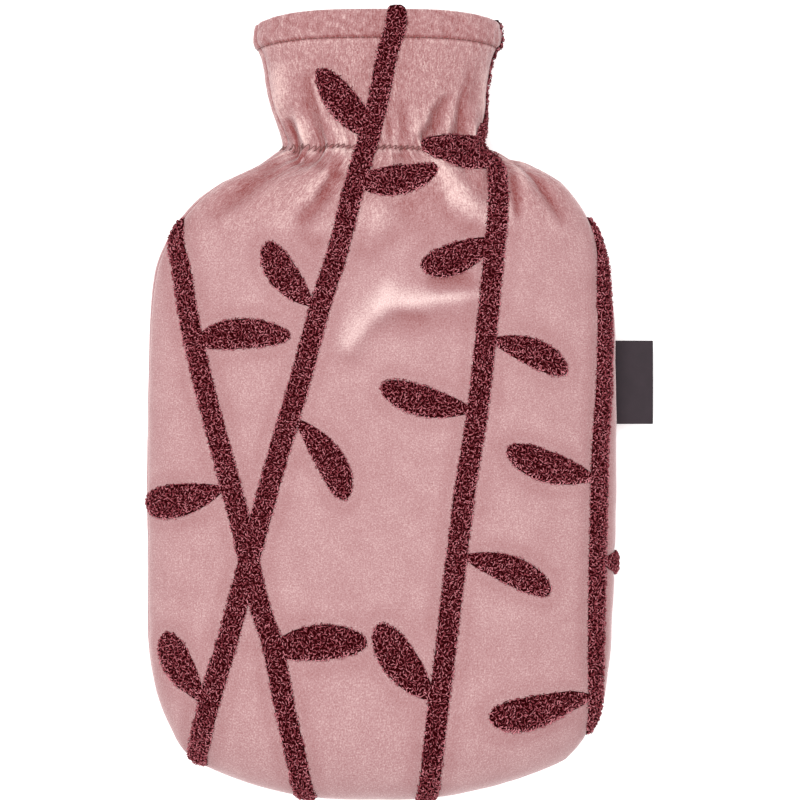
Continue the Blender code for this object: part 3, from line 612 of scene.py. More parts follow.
class ClothPanel:
    """One panel's outer and inner faces on a grid of rows and columns.

    run is the length of cloth from the seam of the first column, and part is its share of the width.
    """

    def __init__(self, panel, cloth, embroidery):
        self.panel = panel
        self.along = row_places(panel)
        across, bare = [], []
        for along in self.along:
            rings = {side: half_ring(along, side) for side in ("left", "right")}
            across.append(self.row_across(rings))
            bare.append(bare_row(along, across[-1], rings))
        self.across, self.bare = np.array(across), np.array(bare)
        self.run = np.insert(np.cumsum(np.abs(self.steps_across()), axis=1), 0, 0.0, axis=1)
        self.width = self.run[:, -1:]
        self.part = self.run / self.width
        self.facing = self.bare_normals()
        main = main_lift(self.across, self.along[:, None])
        fine, painted_folds = fine_lift(self.across, self.along[:, None])
        wall = np.where(self.along[:, None] > HEM_STITCH, cloth.hem_wall, cloth.wall)
        rounding = self.edge_rounding(wall)
        beside = self.beside_yarn(embroidery)
        press = -YARN_PRESS * hump(beside, YARN_PRESS_SPREAD)
        # Painted shadow of the yarn on the cloth just outside its outlines.
        yarn_shadow = YARN_SHADOW * hump(beside + HALO_PLACE, HALO_SPREAD)
        relief = main + self.small_relief(cloth)
        # The pile's tone: painted highlights and shade from the relief and the fine folds, and the yarn's
        # painted shadow.
        self.tone = TONE_LIMIT * np.tanh((self.pile_tone(relief) + painted_folds + yarn_shadow) / TONE_LIMIT)
        relief = relief + fine + press
        self.skin = self.bare + self.facing * (relief - rounding)[..., None]
        self.skin[..., 2] = np.maximum(self.skin[..., 2], 0.0)
        self.lining = self.bare + self.facing * (main - wall + rounding)[..., None]

    def row_across(self, rings):
        """Places across one row, from one side seam to the other."""
        seam = {side: ring[-1] for side, ring in rings.items()}
        half_gap, count = SEAM_GAP / 2, COLUMNS[self.panel]
        if self.panel == "front":
            return edge_steps(half_gap - seam["left"], seam["right"] - half_gap, count)
        back = {side: ring[0][-1] for side, ring in rings.items()}
        whole = (back["right"] - seam["right"]) + (back["left"] - seam["left"])
        right = seam["right"] + edge_steps(half_gap, whole - half_gap, count)
        return np.where(right > back["right"], right - back["right"] - back["left"], right)

    def steps_across(self):
        """The lengths of cloth between the columns, also where the back's middle changes their sign."""
        step = np.diff(self.across, axis=1)
        length = np.linalg.norm(np.diff(self.bare, axis=1), axis=2)
        return np.where(step < 0, length, step)

    def bare_normals(self):
        """The way the cloth faces, eased at the bottom corners, where it has no slope of its own."""
        normals = unit(np.cross(np.gradient(self.bare, axis=1), np.gradient(self.bare, axis=0)))
        first = -1.0 if self.panel == "front" else 1.0
        near = smooth_step(1 - (self.along - BOTTOM_SEAM) / CORNER_REACH)
        down = np.array([0.0, -1.0, 0.0]) * near[:, None]
        for column, x in ((0, first), (-1, -first)):
            outer = unit(np.array([x, 0.0, 0.0]) + down)
            for k in range(len(EDGE_PLACES)):
                at = k if column == 0 else -1 - k
                share = (near * (1 - k / len(EDGE_PLACES)))[:, None]
                normals[:, at] = normals[:, at] * (1 - share) + outer * share
        return unit(normals)

    def edge_rounding(self, wall):
        """How far the outer face falls towards the wall's middle at the panel's edges."""
        to_seam = np.minimum(self.run, self.width - self.run)
        to_end = np.minimum(self.along - BOTTOM_SEAM, RIM - self.along)[:, None]
        radius = wall * EDGE_ROUND
        return np.maximum(edge_drop(to_seam, radius), edge_drop(to_end, radius))

    def beside_yarn(self, embroidery):
        """How far inside the embroidery's outlines each place lies, negative outside."""
        if not embroidery:
            return np.full(self.across.shape, -1.0)
        along = np.broadcast_to(self.along[:, None], self.across.shape)
        places = np.stack([self.across.ravel(), along.ravel()], axis=1)
        return inside_any(places, embroidery, HALO_PLACE + 2 * HALO_SPREAD).reshape(self.across.shape)

    def pile_tone(self, relief):
        """Painted highlights on ridges and on slopes that face the rim, painted shade in hollows and in
        the stitched rows, and darker along the hem.
        """
        step = np.gradient(self.run, axis=1)
        upwards = np.gradient(relief, self.along, axis=0)
        aside = np.gradient(relief, axis=1) / step
        bend = np.gradient(upwards, self.along, axis=0) + np.gradient(aside, axis=1) / step
        tone = HEIGHT_TONE * relief - SLOPE_TONE * upwards - BEND_TONE * bend
        along = self.along[:, None]
        tone += HEM_TONE * smooth_step((along - HEM_STITCH) / HEM_SPREAD)
        tone += HEM_ROW_TONE * hump(along - HEM_STITCH, STITCHED_SPREAD)
        tone += ELASTIC_ROW_TONE * hump(along - elastic_row(self.part), STITCHED_SPREAD)
        return tone + NECK_TONE * self.combed()

    def combed(self):
        """0 on the plain pile of the body and 1 on the collar, where the pile is combed."""
        return smooth_step((self.along[:, None] - COMBED_LOW) / (COMBED_FULL - COMBED_LOW))

    def waves(self, rng, count, lengths):
        """Soft unevenness of waves that run every way, from -1 to 1."""
        total = np.zeros_like(self.run)
        for _ in range(count):
            length = math.exp(rng.uniform(*np.log(lengths)))
            heading = rng.uniform(0.0, math.pi)
            ways = self.run * math.cos(heading) + self.along[:, None] * math.sin(heading)
            total += length * np.sin(ways / length * 2 * math.pi + rng.uniform(0, 2 * math.pi))
        return total / np.abs(total).max()

    def small_relief(self, cloth):
        """Crimps at the elastic, the stitched hem with its puckers, the seams' tuck and soft ripples."""
        rng = np.random.default_rng(SEEDS[self.panel])
        along = self.along[:, None]
        beside = along - elastic_row(self.part)
        total = -ELASTIC_DEPTH * hump(beside, ELASTIC_SPREAD)
        arcs = zigzag_arcs(self.part, self.width_at(ELASTIC))
        total += ARC_PUFF * arcs * hump(beside - ARC_PLACE, ARC_SPREAD)
        count = round(self.width_at(ELASTIC) / cloth.crimp_spacing)
        for k in range(count):
            place = (k + 0.5 + rng.uniform(-CRIMP_PLACE, CRIMP_PLACE)) / count
            spread = rng.uniform(*CRIMP_SPREAD)
            height = cloth.crimp * rng.uniform(*CRIMP_HEIGHTS) * (1 if k % 2 else -1)
            up, down = rng.uniform(*CRIMP_REACH, 2)
            slant = rng.uniform(-CRIMP_SLANT, CRIMP_SLANT)
            reach = np.where(beside > 0, up, down)
            away = (self.part - place) * self.width - slant * beside
            total += height * np.exp(-((away / spread) ** 2) - np.abs(beside / reach) ** CRIMP_FADE)
        from_hem = along - HEM_STITCH
        total -= HEM_DEPTH * hump(from_hem, HEM_SPREAD)
        in_hem = np.clip(from_hem / (RIM - HEM_STITCH), 0.0, 1.0)
        total += HEM_PUFF * np.sqrt(np.sin(math.pi * in_hem))
        wander = sum(turn * np.sin(self.run / length + start) for turn, length, start in PUCKER_WANDER)
        pucker = np.sin(self.run / PUCKER_SPACING * 2 * math.pi + wander)
        total += PUCKER * pucker * np.exp(-np.abs(from_hem) / PUCKER_REACH)
        total -= SEAM_TUCK * hump(np.minimum(self.run, self.width - self.run), SEAM_SPREAD)
        total += cloth.ripple * self.waves(rng, RIPPLE_WAVES, RIPPLE_LENGTHS)
        lumpy = np.where(from_hem > 0, 1.0, LUMPS_ON_COLLAR * smooth_step(1 + beside / LUMP_FADE))
        return total + cloth.lumps * lumpy * self.waves(rng, LUMP_WAVES, LUMP_LENGTHS)

    def width_at(self, along):
        """The width of the cloth at one height or at several."""
        return np.interp(along, self.along, self.width[:, 0])

    def rows_at(self, along):
        """The row below each height, and the share of the way to the next one."""
        row = np.interp(along, self.along, np.arange(len(self.along)))
        low = np.minimum(row.astype(int), len(self.along) - 2)
        return low, (row - low)[..., None]

    def at(self, across, along, lift=0.0):
        """Points at a distance over places on the panel."""
        across, along = np.broadcast_arrays(np.asarray(across, float), np.asarray(along, float))
        low, g = self.rows_at(along)
        rows = self.across[low] * (1 - g) + self.across[low + 1] * g
        column = np.minimum((rows[..., 1:-1] <= across[..., None]).sum(-1), rows.shape[-1] - 2)
        left, right = (np.take_along_axis(rows, column[..., None] + k, -1)[..., 0] for k in (0, 1))
        f = np.clip((across - left) / (right - left), 0.0, 1.0)[..., None]
        found = []
        for grid in (self.skin, self.facing):
            near, far = (grid[r, column] * (1 - f) + grid[r, column + 1] * f for r in (low, low + 1))
            found.append(near * (1 - g) + far * g)
        return found[0] + found[1] * np.asarray(lift, float)[..., None]

    def flat_area(self):
        """The area of the cloth as it is cut."""
        return float(((self.width[1:] + self.width[:-1]) / 2 * np.diff(self.along)[:, None]).sum())

    def flat_size(self):
        """The width and length of the cloth as it is cut."""
        return float(self.width.max()), float(RIM - BOTTOM_SEAM)


# Meshes


def add_mesh(name, points, faces, maps=None, values=None):
    """A smooth mesh object at the origin, with UV maps and named values for its points."""
    mesh = bpy.data.meshes.new(name)
    mesh.from_pydata(np.asarray(points, float).tolist(), [], [tuple(map(int, face)) for face in faces])
    corner = np.zeros(len(mesh.loops), np.int32)
    mesh.loops.foreach_get("vertex_index", corner)
    for title, uv in (maps or {}).items():
        layer = mesh.uv_layers.new(name=title)
        layer.uv.foreach_set("vector", np.asarray(uv, np.float32)[corner].ravel())
    for title, value in (values or {}).items():
        layer = mesh.attributes.new(title, "FLOAT", "POINT")
        layer.data.foreach_set("value", np.asarray(value, np.float32))
    mesh.shade_smooth()
    piece = bpy.data.objects.new(name, mesh)
    bpy.context.scene.collection.objects.link(piece)
    return piece


def grid_faces(rows, columns, first=0, flip=False):
    """Quads between the points of a grid."""
    corner = first + np.arange(rows * columns).reshape(rows, columns)
    quads = np.stack([corner[:-1, :-1], corner[:-1, 1:], corner[1:, 1:], corner[1:, :-1]], axis=-1)
    quads = quads.reshape(-1, 4)
    return (quads[:, ::-1] if flip else quads).tolist()


def border(rows, columns, first=0):
    """The points round a grid, once round from its first corner."""
    corner = first + np.arange(rows * columns).reshape(rows, columns)
    return np.concatenate([corner[0, :-1], corner[:-1, -1], corner[-1, :0:-1], corner[:0:-1, 0]])


def panel_piece(name, panel):
    """A closed wall of cloth: a fine outer face, an inner face of half as many rows and columns."""
    rows, columns = panel.run.shape
    lining = panel.lining[::2, ::2]
    points = np.concatenate([panel.skin.reshape(-1, 3), lining.reshape(-1, 3)])
    along = np.broadcast_to(panel.along[:, None], panel.run.shape)
    places = {"cloth": panel.run - panel.width / 2, "combed": panel.part * panel.width_at(ELASTIC)}
    maps = {}
    for title, across in places.items():
        grid = np.stack([across, along], axis=-1)
        maps[title] = np.concatenate([grid.reshape(-1, 2), grid[::2, ::2].reshape(-1, 2)])
    comb = np.broadcast_to(PLAIN_COMB + (1 - PLAIN_COMB) * panel.combed(), panel.run.shape)
    # tone carries the painted highlights and shade worked out for the cloth.
    values = {
        title: np.concatenate([grid.ravel(), np.zeros(lining.size // 3)])
        for title, grid in (("tone", panel.tone), ("comb", comb))
    }
    faces = grid_faces(rows, columns)
    faces += grid_faces(*lining.shape[:2], first=rows * columns, flip=True)
    outer = border(rows, columns)
    inner = border(*lining.shape[:2], first=rows * columns)
    for k in range(len(inner)):
        near, middle, far = outer[2 * k], outer[2 * k + 1], outer[(2 * k + 2) % len(outer)]
        under, under_next = inner[k], inner[(k + 1) % len(inner)]
        faces += [(middle, near, under), (far, middle, under_next), (middle, under, under_next)]
    return add_mesh(name, points, faces, maps, values)


def tubes(centres, facing, radius, sides):
    """Points and faces of many like tubes that lie on a surface. centres has a row for each tube."""
    count, rings = centres.shape[:2]
    ahead = unit(np.gradient(centres, axis=1))
    aside = unit(np.cross(ahead, facing))
    up = np.cross(aside, ahead)
    turn = np.arange(sides) / sides * 2 * math.pi
    ring = aside[:, :, None] * np.cos(turn)[:, None] + up[:, :, None] * np.sin(turn)[:, None]
    points = centres[:, :, None] + ring * radius[:, :, None, None]
    one = np.arange(rings * sides).reshape(rings, sides)
    after = np.roll(one, -1, axis=1)
    quads = np.stack([one[:-1], after[:-1], after[1:], one[1:]], axis=-1).reshape(-1, 4)
    start = (np.arange(count) * rings * sides)[:, None, None]
    faces = (quads + start).reshape(-1, 4).tolist()
    for cap in (one[0][::-1], one[-1]):
        faces += (cap + start[:, 0]).tolist()
    return points.reshape(-1, 3), faces


def joined(*parts):
    """Points and faces of several meshes as one."""
    faces, start = [], 0
    for points, part_faces in parts:
        faces += [tuple(k + start for k in face) for face in part_faces]
        start += len(points)
    return np.concatenate([points for points, _ in parts]), faces


# The embroidery

PATH_STEP = 0.0016
STEM_END = 0.35  # the share of a stem's width at its very ends
LEAF_STEPS = 26
BED_SPACING = 0.0016
BED_MARGIN = 0.0010  # the bed's inner points stay this far inside its outline
BED_SINK = 0.0003  # the bed reaches this far into the cloth
BED_SLOPE = 0.0022
BED_JITTER = 0.12
# The bed's tones lie at the darkest colour: painted shade between the loops.
BED_TONES = (-0.12, 0.04)
EDGE_MARGIN = 0.0010  # from the bottom seam and the rim
RIM_OVERHANG = 0.0027  # a stem's loops stand over the rim by this much
RIM_REACH = 0.0070
LOOP_SPREAD = 0.0009  # the loops at an outline spread this far past it
LOOP_SIDES, LOOP_RINGS = 3, 4
LOOP_HALF = 0.0007  # half a loop's length
LOOP_MARGIN = 0.0004  # the loops' middles stay this far inside an outline
LOOP_JITTER = 0.32
# The spread of the loops' lengths, heights, leans, radii and tones, as shares of the usual ones.
LOOP_LENGTHS, LOOP_HEIGHTS, LOOP_LEANS = (0.7, 1.25), (0.45, 1.35), (-0.8, 0.8)
LOOP_RADII, LOOP_TONES = (0.8, 1.25), (0.25, 1.0)
EDGE_TURN = 0.35  # loops at an outline lie along it, give or take this angle,
EDGE_HEIGHT, EDGE_LEAN = 0.75, 0.4  # and these are their shares of height and lean
FOOT_RADIUS = 0.75
FOOT_TONE, FOOT_TONE_AT_EDGE = 0.25, 0.75  # painted shade: a loop's feet have this share of its tone
PALE_EDGE, PALE_BELOW = 0.18, 0.20  # painted light: loops near an outline are paler, most near its lower side
PALE_REACH = 0.0030
OUTLINE_PROBE = 0.0003
OUTLINE_PARTS = 12  # the places are looked up in this many parts
YARN_SEED = 21


def smooth_path(points, step):
    """A smooth line through points, with places about a step apart."""
    points = np.array(points, float)
    run = running_length(*points.T)
    at = np.linspace(0.0, run[-1], max(2, round(run[-1] / step)) + 1)
    return np.stack([smooth_through(run, points[:, k], at) for k in (0, 1)], axis=1)


def stem_shape(points, width):
    """The outline of a stem with round ends."""
    path = smooth_path(points, PATH_STEP)
    ahead = unit(np.gradient(path, axis=0))
    run = running_length(*path.T)
    near_end = 1 - np.clip(np.minimum(run, run[-1] - run) / (width / 2), 0.0, 1.0)
    half = width / 2 * np.maximum(np.sqrt(1 - near_end**2), STEM_END)
    aside = np.stack([-ahead[:, 1], ahead[:, 0]], axis=1) * half[:, None]
    return np.concatenate([path - aside, (path + aside)[::-1]])


def leaf_shape(leaf, inset):
    """The outline of a leaf, slim at its base and widest near its round tip, drawn in by an inset."""
    base = np.array([leaf["across"], leaf["along"]])
    run = np.array([leaf["tip_across"], leaf["tip_along"]]) - base
    length = np.linalg.norm(run)
    aside = np.array([-run[1], run[0]]) / length
    t = (1 - np.cos(np.linspace(0.0, math.pi, LEAF_STEPS))) / 2
    swell = t ** leaf["taper"] * (1 - t) ** LEAF_TIP
    half = np.outer(np.maximum(leaf["width"] / 2 - inset, 0.0) * swell / swell.max(), aside)
    t = t * (1 - inset / length)
    spine = base + np.outer(t, run) + np.outer(4 * t * (1 - t) * leaf["bow"], aside)
    return np.concatenate([spine - half, (spine + half)[-2:0:-1]])


def vine_shapes(stems, width, inset=0.0):
    """The outlines of some stems and of their leaves, drawn in by an inset."""
    leaves = [dict(zip(LEAF_COLUMNS, row)) for row in LEAVES]
    shapes = []
    for stem in stems:
        shapes.append(stem_shape(STEMS[stem], width - 2 * inset))
        shapes += [leaf_shape(leaf, inset) for leaf in leaves if leaf["stem"] == stem]
    return shapes


def inside_by(places, shape):
    """How far each place lies inside a closed outline, negative outside."""
    start, end = shape, np.roll(shape, -1, axis=0)
    run = end - start
    away = places[:, None] - start[None]
    t = np.clip((away * run).sum(2) / np.maximum((run * run).sum(1), 1e-15), 0.0, 1.0)
    distance = np.linalg.norm(away - t[..., None] * run, axis=2).min(1)
    above = (start[None, :, 1] > places[:, None, 1]) != (end[None, :, 1] > places[:, None, 1])
    height = np.where(run[:, 1] == 0, 1e-15, run[:, 1])
    crossing = start[None, :, 0] + (places[:, None, 1] - start[None, :, 1]) * run[:, 0] / height
    inside = (above & (places[:, None, 0] < crossing)).sum(1) % 2 == 1
    return np.where(inside, distance, -distance)


def inside_any(places, shapes, margin):
    """How far each place lies inside the nearest of some outlines, if it is in or near one."""
    best = np.full(len(places), -1.0)
    for shape in shapes:
        low, high = shape.min(0) - margin, shape.max(0) + margin
        near = np.flatnonzero(((places > low) & (places < high)).all(1))
        for part in np.array_split(near, OUTLINE_PARTS):
            best[part] = np.maximum(best[part], inside_by(places[part], shape))
    return best


def outline_headings(places, shapes):
    """The way the nearest outline runs beside each place, as an angle."""
    x, y = (
        inside_any(places + step, shapes, 3 * OUTLINE_PROBE)
        - inside_any(places - step, shapes, 3 * OUTLINE_PROBE)
        for step in np.eye(2) * OUTLINE_PROBE
    )
    return np.arctan2(y, x) + math.pi / 2


def scattered(shapes, spacing, margin, rng, jitter):
    """Places spread evenly with a little disorder over some outlines, at least a margin inside them."""
    low = np.min([shape.min(0) for shape in shapes], axis=0) - spacing
    high = np.max([shape.max(0) for shape in shapes], axis=0) + spacing
    rows = np.arange(low[1], high[1], spacing * math.sqrt(3) / 2)
    x, y = np.meshgrid(np.arange(low[0], high[0], spacing), rows)
    x = x + (np.arange(len(rows)) % 2)[:, None] * spacing / 2
    places = np.stack([x.ravel(), y.ravel()], axis=1)
    places = places + rng.uniform(-jitter, jitter, places.shape) * spacing
    depth = inside_any(places, shapes, abs(margin) + spacing)
    keep = depth > margin
    return places[keep], depth[keep]


def bed_lift(depth, yarn):
    """The height of the yarn's bed over the cloth at a depth inside its outline."""
    rise = np.sin(np.clip(depth / BED_SLOPE, 0.0, 1.0) * math.pi / 2)
    return yarn.edge + (yarn.crown - yarn.edge) * rise


def rim_overhang(along):
    """How far the yarn near the rim is moved on, so that a stem's end stands over the rim."""
    return RIM_OVERHANG * smooth_step((along - RIM + RIM_REACH) / RIM_REACH)


def yarn_bed(panel, shapes, yarn, rng):
    """The closed bed that the loops stand on: its points and faces, and its points' tones, near the
    darkest, as painted shade between the loops.
    """
    inner, _ = scattered(shapes, BED_SPACING, BED_MARGIN, rng, BED_JITTER)
    corners = np.concatenate([*shapes, inner])
    loops, start = [], 0
    for shape in shapes:
        loops.append(list(range(start, start + len(shape))))
        start += len(shape)
    flat, _, parts, _, _, sources = delaunay_2d_cdt(corners.tolist(), [], loops, 1, 1e-6, True)
    parts = [part for part, source in zip(parts, sources) if source]
    used = sorted({k for part in parts for k in part})
    number = {k: n for n, k in enumerate(used)}
    parts = [[number[k] for k in part] for part in parts]
    place = np.array([flat[k] for k in used])
    depth = np.maximum(inside_any(place, shapes, BED_SLOPE), 0.0)
    under, over = (panel.at(*place.T, lift) for lift in (-BED_SINK, bed_lift(depth, yarn)))
    points = np.concatenate([under, over])
    points[:, 1] += np.tile(rim_overhang(place[:, 1]), 2)
    count = len(used)
    edges = {(a, b) for part in parts for a, b in zip(part, part[1:] + part[:1])}
    rim = sorted((a, b) for a, b in edges if (b, a) not in edges)
    faces = [tuple(k + count for k in part) for part in parts]
    faces += [tuple(reversed(part)) for part in parts]
    faces += [(b + count, a + count, a, b) for a, b in rim]
    return (points, faces), rng.uniform(*BED_TONES, 2 * count)


def yarn_loops(panel, shapes, yarn, rng):
    """Small arched loops of yarn, laid along the outlines beside them: points and faces, and tones with
    painted shade at their feet and painted light near the outlines.
    """
    places, depth = scattered(shapes, yarn.spacing, LOOP_MARGIN, rng, LOOP_JITTER)
    count = len(places)
    at_edge = depth < LOOP_HALF
    outline = outline_headings(places, shapes)
    heading = rng.uniform(0.0, 2 * math.pi, count)
    heading[at_edge] = outline[at_edge] + rng.uniform(-EDGE_TURN, EDGE_TURN, at_edge.sum())
    half = LOOP_HALF * rng.uniform(*LOOP_LENGTHS, count)
    high = yarn.loop * rng.uniform(*LOOP_HEIGHTS, count) * np.where(at_edge, EDGE_HEIGHT, 1.0)
    lean = LOOP_HALF * rng.uniform(*LOOP_LEANS, count) * np.where(at_edge, EDGE_LEAN, 1.0)
    t = np.linspace(0.0, math.pi, LOOP_RINGS)[None, :]
    arch = np.sin(t)
    forth, aside = -np.cos(t) * half[:, None], arch * lean[:, None]
    cos, sin = np.cos(heading)[:, None], np.sin(heading)[:, None]
    across = places[:, :1] + forth * cos - aside * sin
    along = places[:, 1:] + forth * sin + aside * cos
    past = rim_overhang(along)
    along = np.clip(along, BOTTOM_SEAM + EDGE_MARGIN / 2, RIM - EDGE_MARGIN / 4)
    base = bed_lift(depth - LOOP_SPREAD, yarn)[:, None] - yarn.radius
    centres = panel.at(across, along, base + arch * high[:, None])
    centres[..., 1] += past
    facing = panel.at(across, along, 1.0) - panel.at(across, along, 0.0)
    radius = yarn.radius * rng.uniform(*LOOP_RADII, count)[:, None]
    radius = radius * (FOOT_RADIUS + (1 - FOOT_RADIUS) * arch)
    # Painted shade: a loop's feet are darker than its top.
    foot = np.where(at_edge, FOOT_TONE_AT_EDGE, FOOT_TONE)[:, None]
    # Painted light: loops near an outline are paler, most near its lower side.
    near = np.clip(1 - (depth - LOOP_MARGIN) / PALE_REACH, 0.0, 1.0)
    edge_light = near * (PALE_EDGE - PALE_BELOW * np.cos(outline))
    tone = rng.uniform(*LOOP_TONES, count)[:, None] * (foot + (1 - foot) * arch) + edge_light[:, None]
    return tubes(centres, facing, radius, LOOP_SIDES), np.repeat(tone.ravel(), LOOP_SIDES)


def vine_piece(name, panel, stems, yarn):
    """One vine: its bed and its loops."""
    rng = np.random.default_rng(YARN_SEED + len(name))
    low, high = BOTTOM_SEAM + EDGE_MARGIN, RIM - EDGE_MARGIN
    bed_outlines, outlines = (
        [np.stack([x, np.clip(y, low, high)], axis=1)
         for x, y in (shape.T for shape in vine_shapes(stems, yarn.stem_width, inset))]
        for inset in (0.0, -LOOP_SPREAD)
    )
    bed, bed_tone = yarn_bed(panel, bed_outlines, yarn, rng)
    loops, loop_tone = yarn_loops(panel, outlines, yarn, rng)
    return add_mesh(name, *joined(bed, loops), values={"tone": np.concatenate([bed_tone, loop_tone])})


# Stitching and tab

STITCH_PITCH, STITCH_LENGTH = 0.0026, 0.0023
STITCH_LIFT = 0.0001
STITCH_DIVE, STITCH_TAPER = 2.2, 0.9  # a stitch's ends sink in and get thinner
ZIGZAG_HEIGHT = 0.0010
ZIGZAG_STEPS = 8
ZIGZAG_END = 0.002  # from a seam
ZIGZAG_LIFT = 0.00005
ZIGZAG_SINK, ZIGZAG_SINK_LENGTH = 0.00012, 0.0093  # here and there it sinks into the pile
THREAD_SIDES, THREAD_STEPS = 6, 7
TAB_SPACE = 0.0004  # between its two plies
TAB_ROWS, TAB_PLY_STEPS, TAB_TURN = 40, 18, 11
TAB_DIP = 0.0006  # how far the tab's outer corners hang
TAB_EDGE_ROUND = 0.9


def thread_over(panel, distance, along, lift, radius):
    """Points and faces of threads that lie on a panel, at distances from the seam of its first column."""
    low, g = panel.rows_at(along)
    share = distance / panel.width_at(along)
    last = panel.run.shape[1] - 1
    found = []
    for r in (low, low + 1):
        column = [
            np.interp(s * panel.run[k, -1], panel.run[k], np.arange(last + 1))
            for s, k in zip(share.ravel(), r.ravel())
        ]
        column = np.reshape(column, distance.shape)
        c = np.minimum(column.astype(int), last - 1)
        f = (column - c)[..., None]
        found.append([grid[r, c] * (1 - f) + grid[r, c + 1] * f for grid in (panel.skin, panel.facing)])
    skin, facing = (near * (1 - g) + far * g for near, far in zip(*found))
    return tubes(skin + facing * lift[..., None], facing, radius, THREAD_SIDES)


def stitch_row(panel, along, trim):
    """Points and faces of a row of straight stitches across a panel."""
    width = panel.width_at(along)
    count = round(width / STITCH_PITCH)
    middle = (np.arange(count) + 0.5) * width / count
    t = np.linspace(-1.0, 1.0, THREAD_STEPS)[None, :]
    distance = middle[:, None] + t * STITCH_LENGTH / 2
    lift = STITCH_LIFT * (1 - STITCH_DIVE * t**4)
    radius = trim.thread_radius * np.sqrt(1 - STITCH_TAPER * t**4)
    return thread_over(panel, distance, np.full(distance.shape, along), lift, radius)


def zigzag_row(panel, trim):
    """Points and faces of the zigzag thread that holds the elastic."""
    width = panel.width_at(ELASTIC)
    steps = round(width / ZIGZAG_PITCH) * ZIGZAG_STEPS + 1
    distance = np.linspace(ZIGZAG_END, width - ZIGZAG_END, steps)[None, :]
    wave = 2 * zigzag_arcs(distance / width, width) - 1
    along = elastic_row(distance / width) + ZIGZAG_HEIGHT * wave
    lift = ZIGZAG_LIFT + ZIGZAG_SINK * np.sin(distance / ZIGZAG_SINK_LENGTH * 2 * math.pi)
    return thread_over(panel, distance, along, lift, np.full(distance.shape, trim.thread_radius))


def tab_piece(name, trim):
    """The folded ribbon: two plies joined by a round fold at the outer end, with soft edges."""
    low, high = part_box("side_tab")
    level = (low.z + high.z) / 2
    start, end = low.x, high.x
    thick = trim.ply
    middle_radius = (TAB_SPACE + thick) / 2
    centre = end - middle_radius - thick / 2
    turn = np.linspace(math.pi / 2, -math.pi / 2, TAB_TURN)
    run = np.linspace(start, centre, TAB_PLY_STEPS)
    profile = [(x, middle_radius) for x in run[:-1]]
    profile += [(centre + middle_radius * math.cos(a), middle_radius * math.sin(a)) for a in turn]
    profile += [(x, -middle_radius) for x in run[-2::-1]]
    profile = np.array(profile)
    ahead = unit(np.gradient(profile, axis=0))
    out = np.stack([-ahead[:, 1], ahead[:, 0]], axis=1)
    rounding = EDGE_PLACES * thick / 2
    middle = np.linspace(low.y, high.y, TAB_ROWS)[1:-1]
    y = np.concatenate([low.y + rounding, middle, high.y - rounding[::-1]])
    from_edge = np.minimum(y - low.y, high.y - y)
    half = thick / 2 - edge_drop(from_edge, thick / 2) * TAB_EDGE_ROUND
    reach = np.clip((profile[:, 0] - start) / (end - start), 0.0, 1.0)
    side = 2 * (y - (low.y + high.y) / 2) / (high.y - low.y)
    dip = -TAB_DIP * reach[None, :] ** 2 * side[:, None] ** 2
    rows, columns = len(y), len(profile)
    skins = []
    for way in (1, -1):
        line = profile[None] + out[None] * (way * half[:, None, None])
        sides = np.repeat(y[:, None], columns, 1)
        skins.append(np.stack([line[..., 0], sides, line[..., 1] + level + dip], axis=-1).reshape(-1, 3))
    faces = grid_faces(rows, columns) + grid_faces(rows, columns, first=rows * columns, flip=True)
    edge, under = border(rows, columns), border(rows, columns, first=rows * columns)
    for k in range(len(edge)):
        n = (k + 1) % len(edge)
        faces.append((edge[n], edge[k], under[k], under[n]))
    length = running_length(*profile.T)
    uv = np.stack(np.meshgrid(length, y), axis=-1).reshape(-1, 2)
    piece = add_mesh(name, np.concatenate(skins), faces, {"cloth": np.concatenate([uv, uv])})
    return piece, (float(high.y - low.y), float(length[-1]))


# Materials

# Patterns have a size in metres, a share of the tone and a share of the relief.
PATCH_SIZE, PATCH_TONE = 0.014, 0.20
GRAIN_SIZE, GRAIN_TONE, GRAIN_RELIEF = 0.00065, 0.80, 0.6
STREAK_SIZE, STREAK_TONE, STREAK_RELIEF = 0.00060, 1.00, 1.2
STREAK_STRETCH = (1.0, 0.26, 1.0)
COMBED_TINT = (1.0, 0.945, 0.925)  # combed pile is a little warmer
TONE_RANGE = 1.3  # the darkest colour, of dark pile and painted shade, and the palest, of pale pile and painted highlights, belong to this tone, below and above the plain one
SHEEN_TINT = (1.0, 0.86, 0.86, 1.0)
FIBRE_SIZE, FIBRE_TONE = 0.0005, 0.30
LOOP_TONE = 0.95
TWIST_SIZE = 0.0004
RIB_SPACING, PICK_SPACING = 0.0005, 0.0007
WEAVE_TONE, CLOUD_SIZE = 0.4, 0.006
FLOOR_PATCH_SIZE = 0.4
WHITE = (1.0, 1.0, 1.0, 1.0)


def add_node(tree, kind, settings=None, sockets=None):
    """A node with its settings and its inputs, each a number, a colour or another node's output."""
    made = tree.nodes.new(kind)
    for name, value in (settings or {}).items():
        setattr(made, name, value)
    for name, value in (sockets or {}).items():
        if isinstance(value, bpy.types.NodeSocket):
            tree.links.new(value, made.inputs[name])
        else:
            made.inputs[name].default_value = value
    return made


def new_material(name, constants):
    """An empty material with its output and its shader, which has some constants."""
    material = bpy.data.materials.new(name)
    material.use_nodes = True
    tree = material.node_tree
    tree.nodes.clear()
    shader = add_node(tree, "ShaderNodeBsdfPrincipled", None, constants)
    add_node(tree, "ShaderNodeOutputMaterial", None, {"Surface": shader.outputs["BSDF"]})
    return material, tree, shader


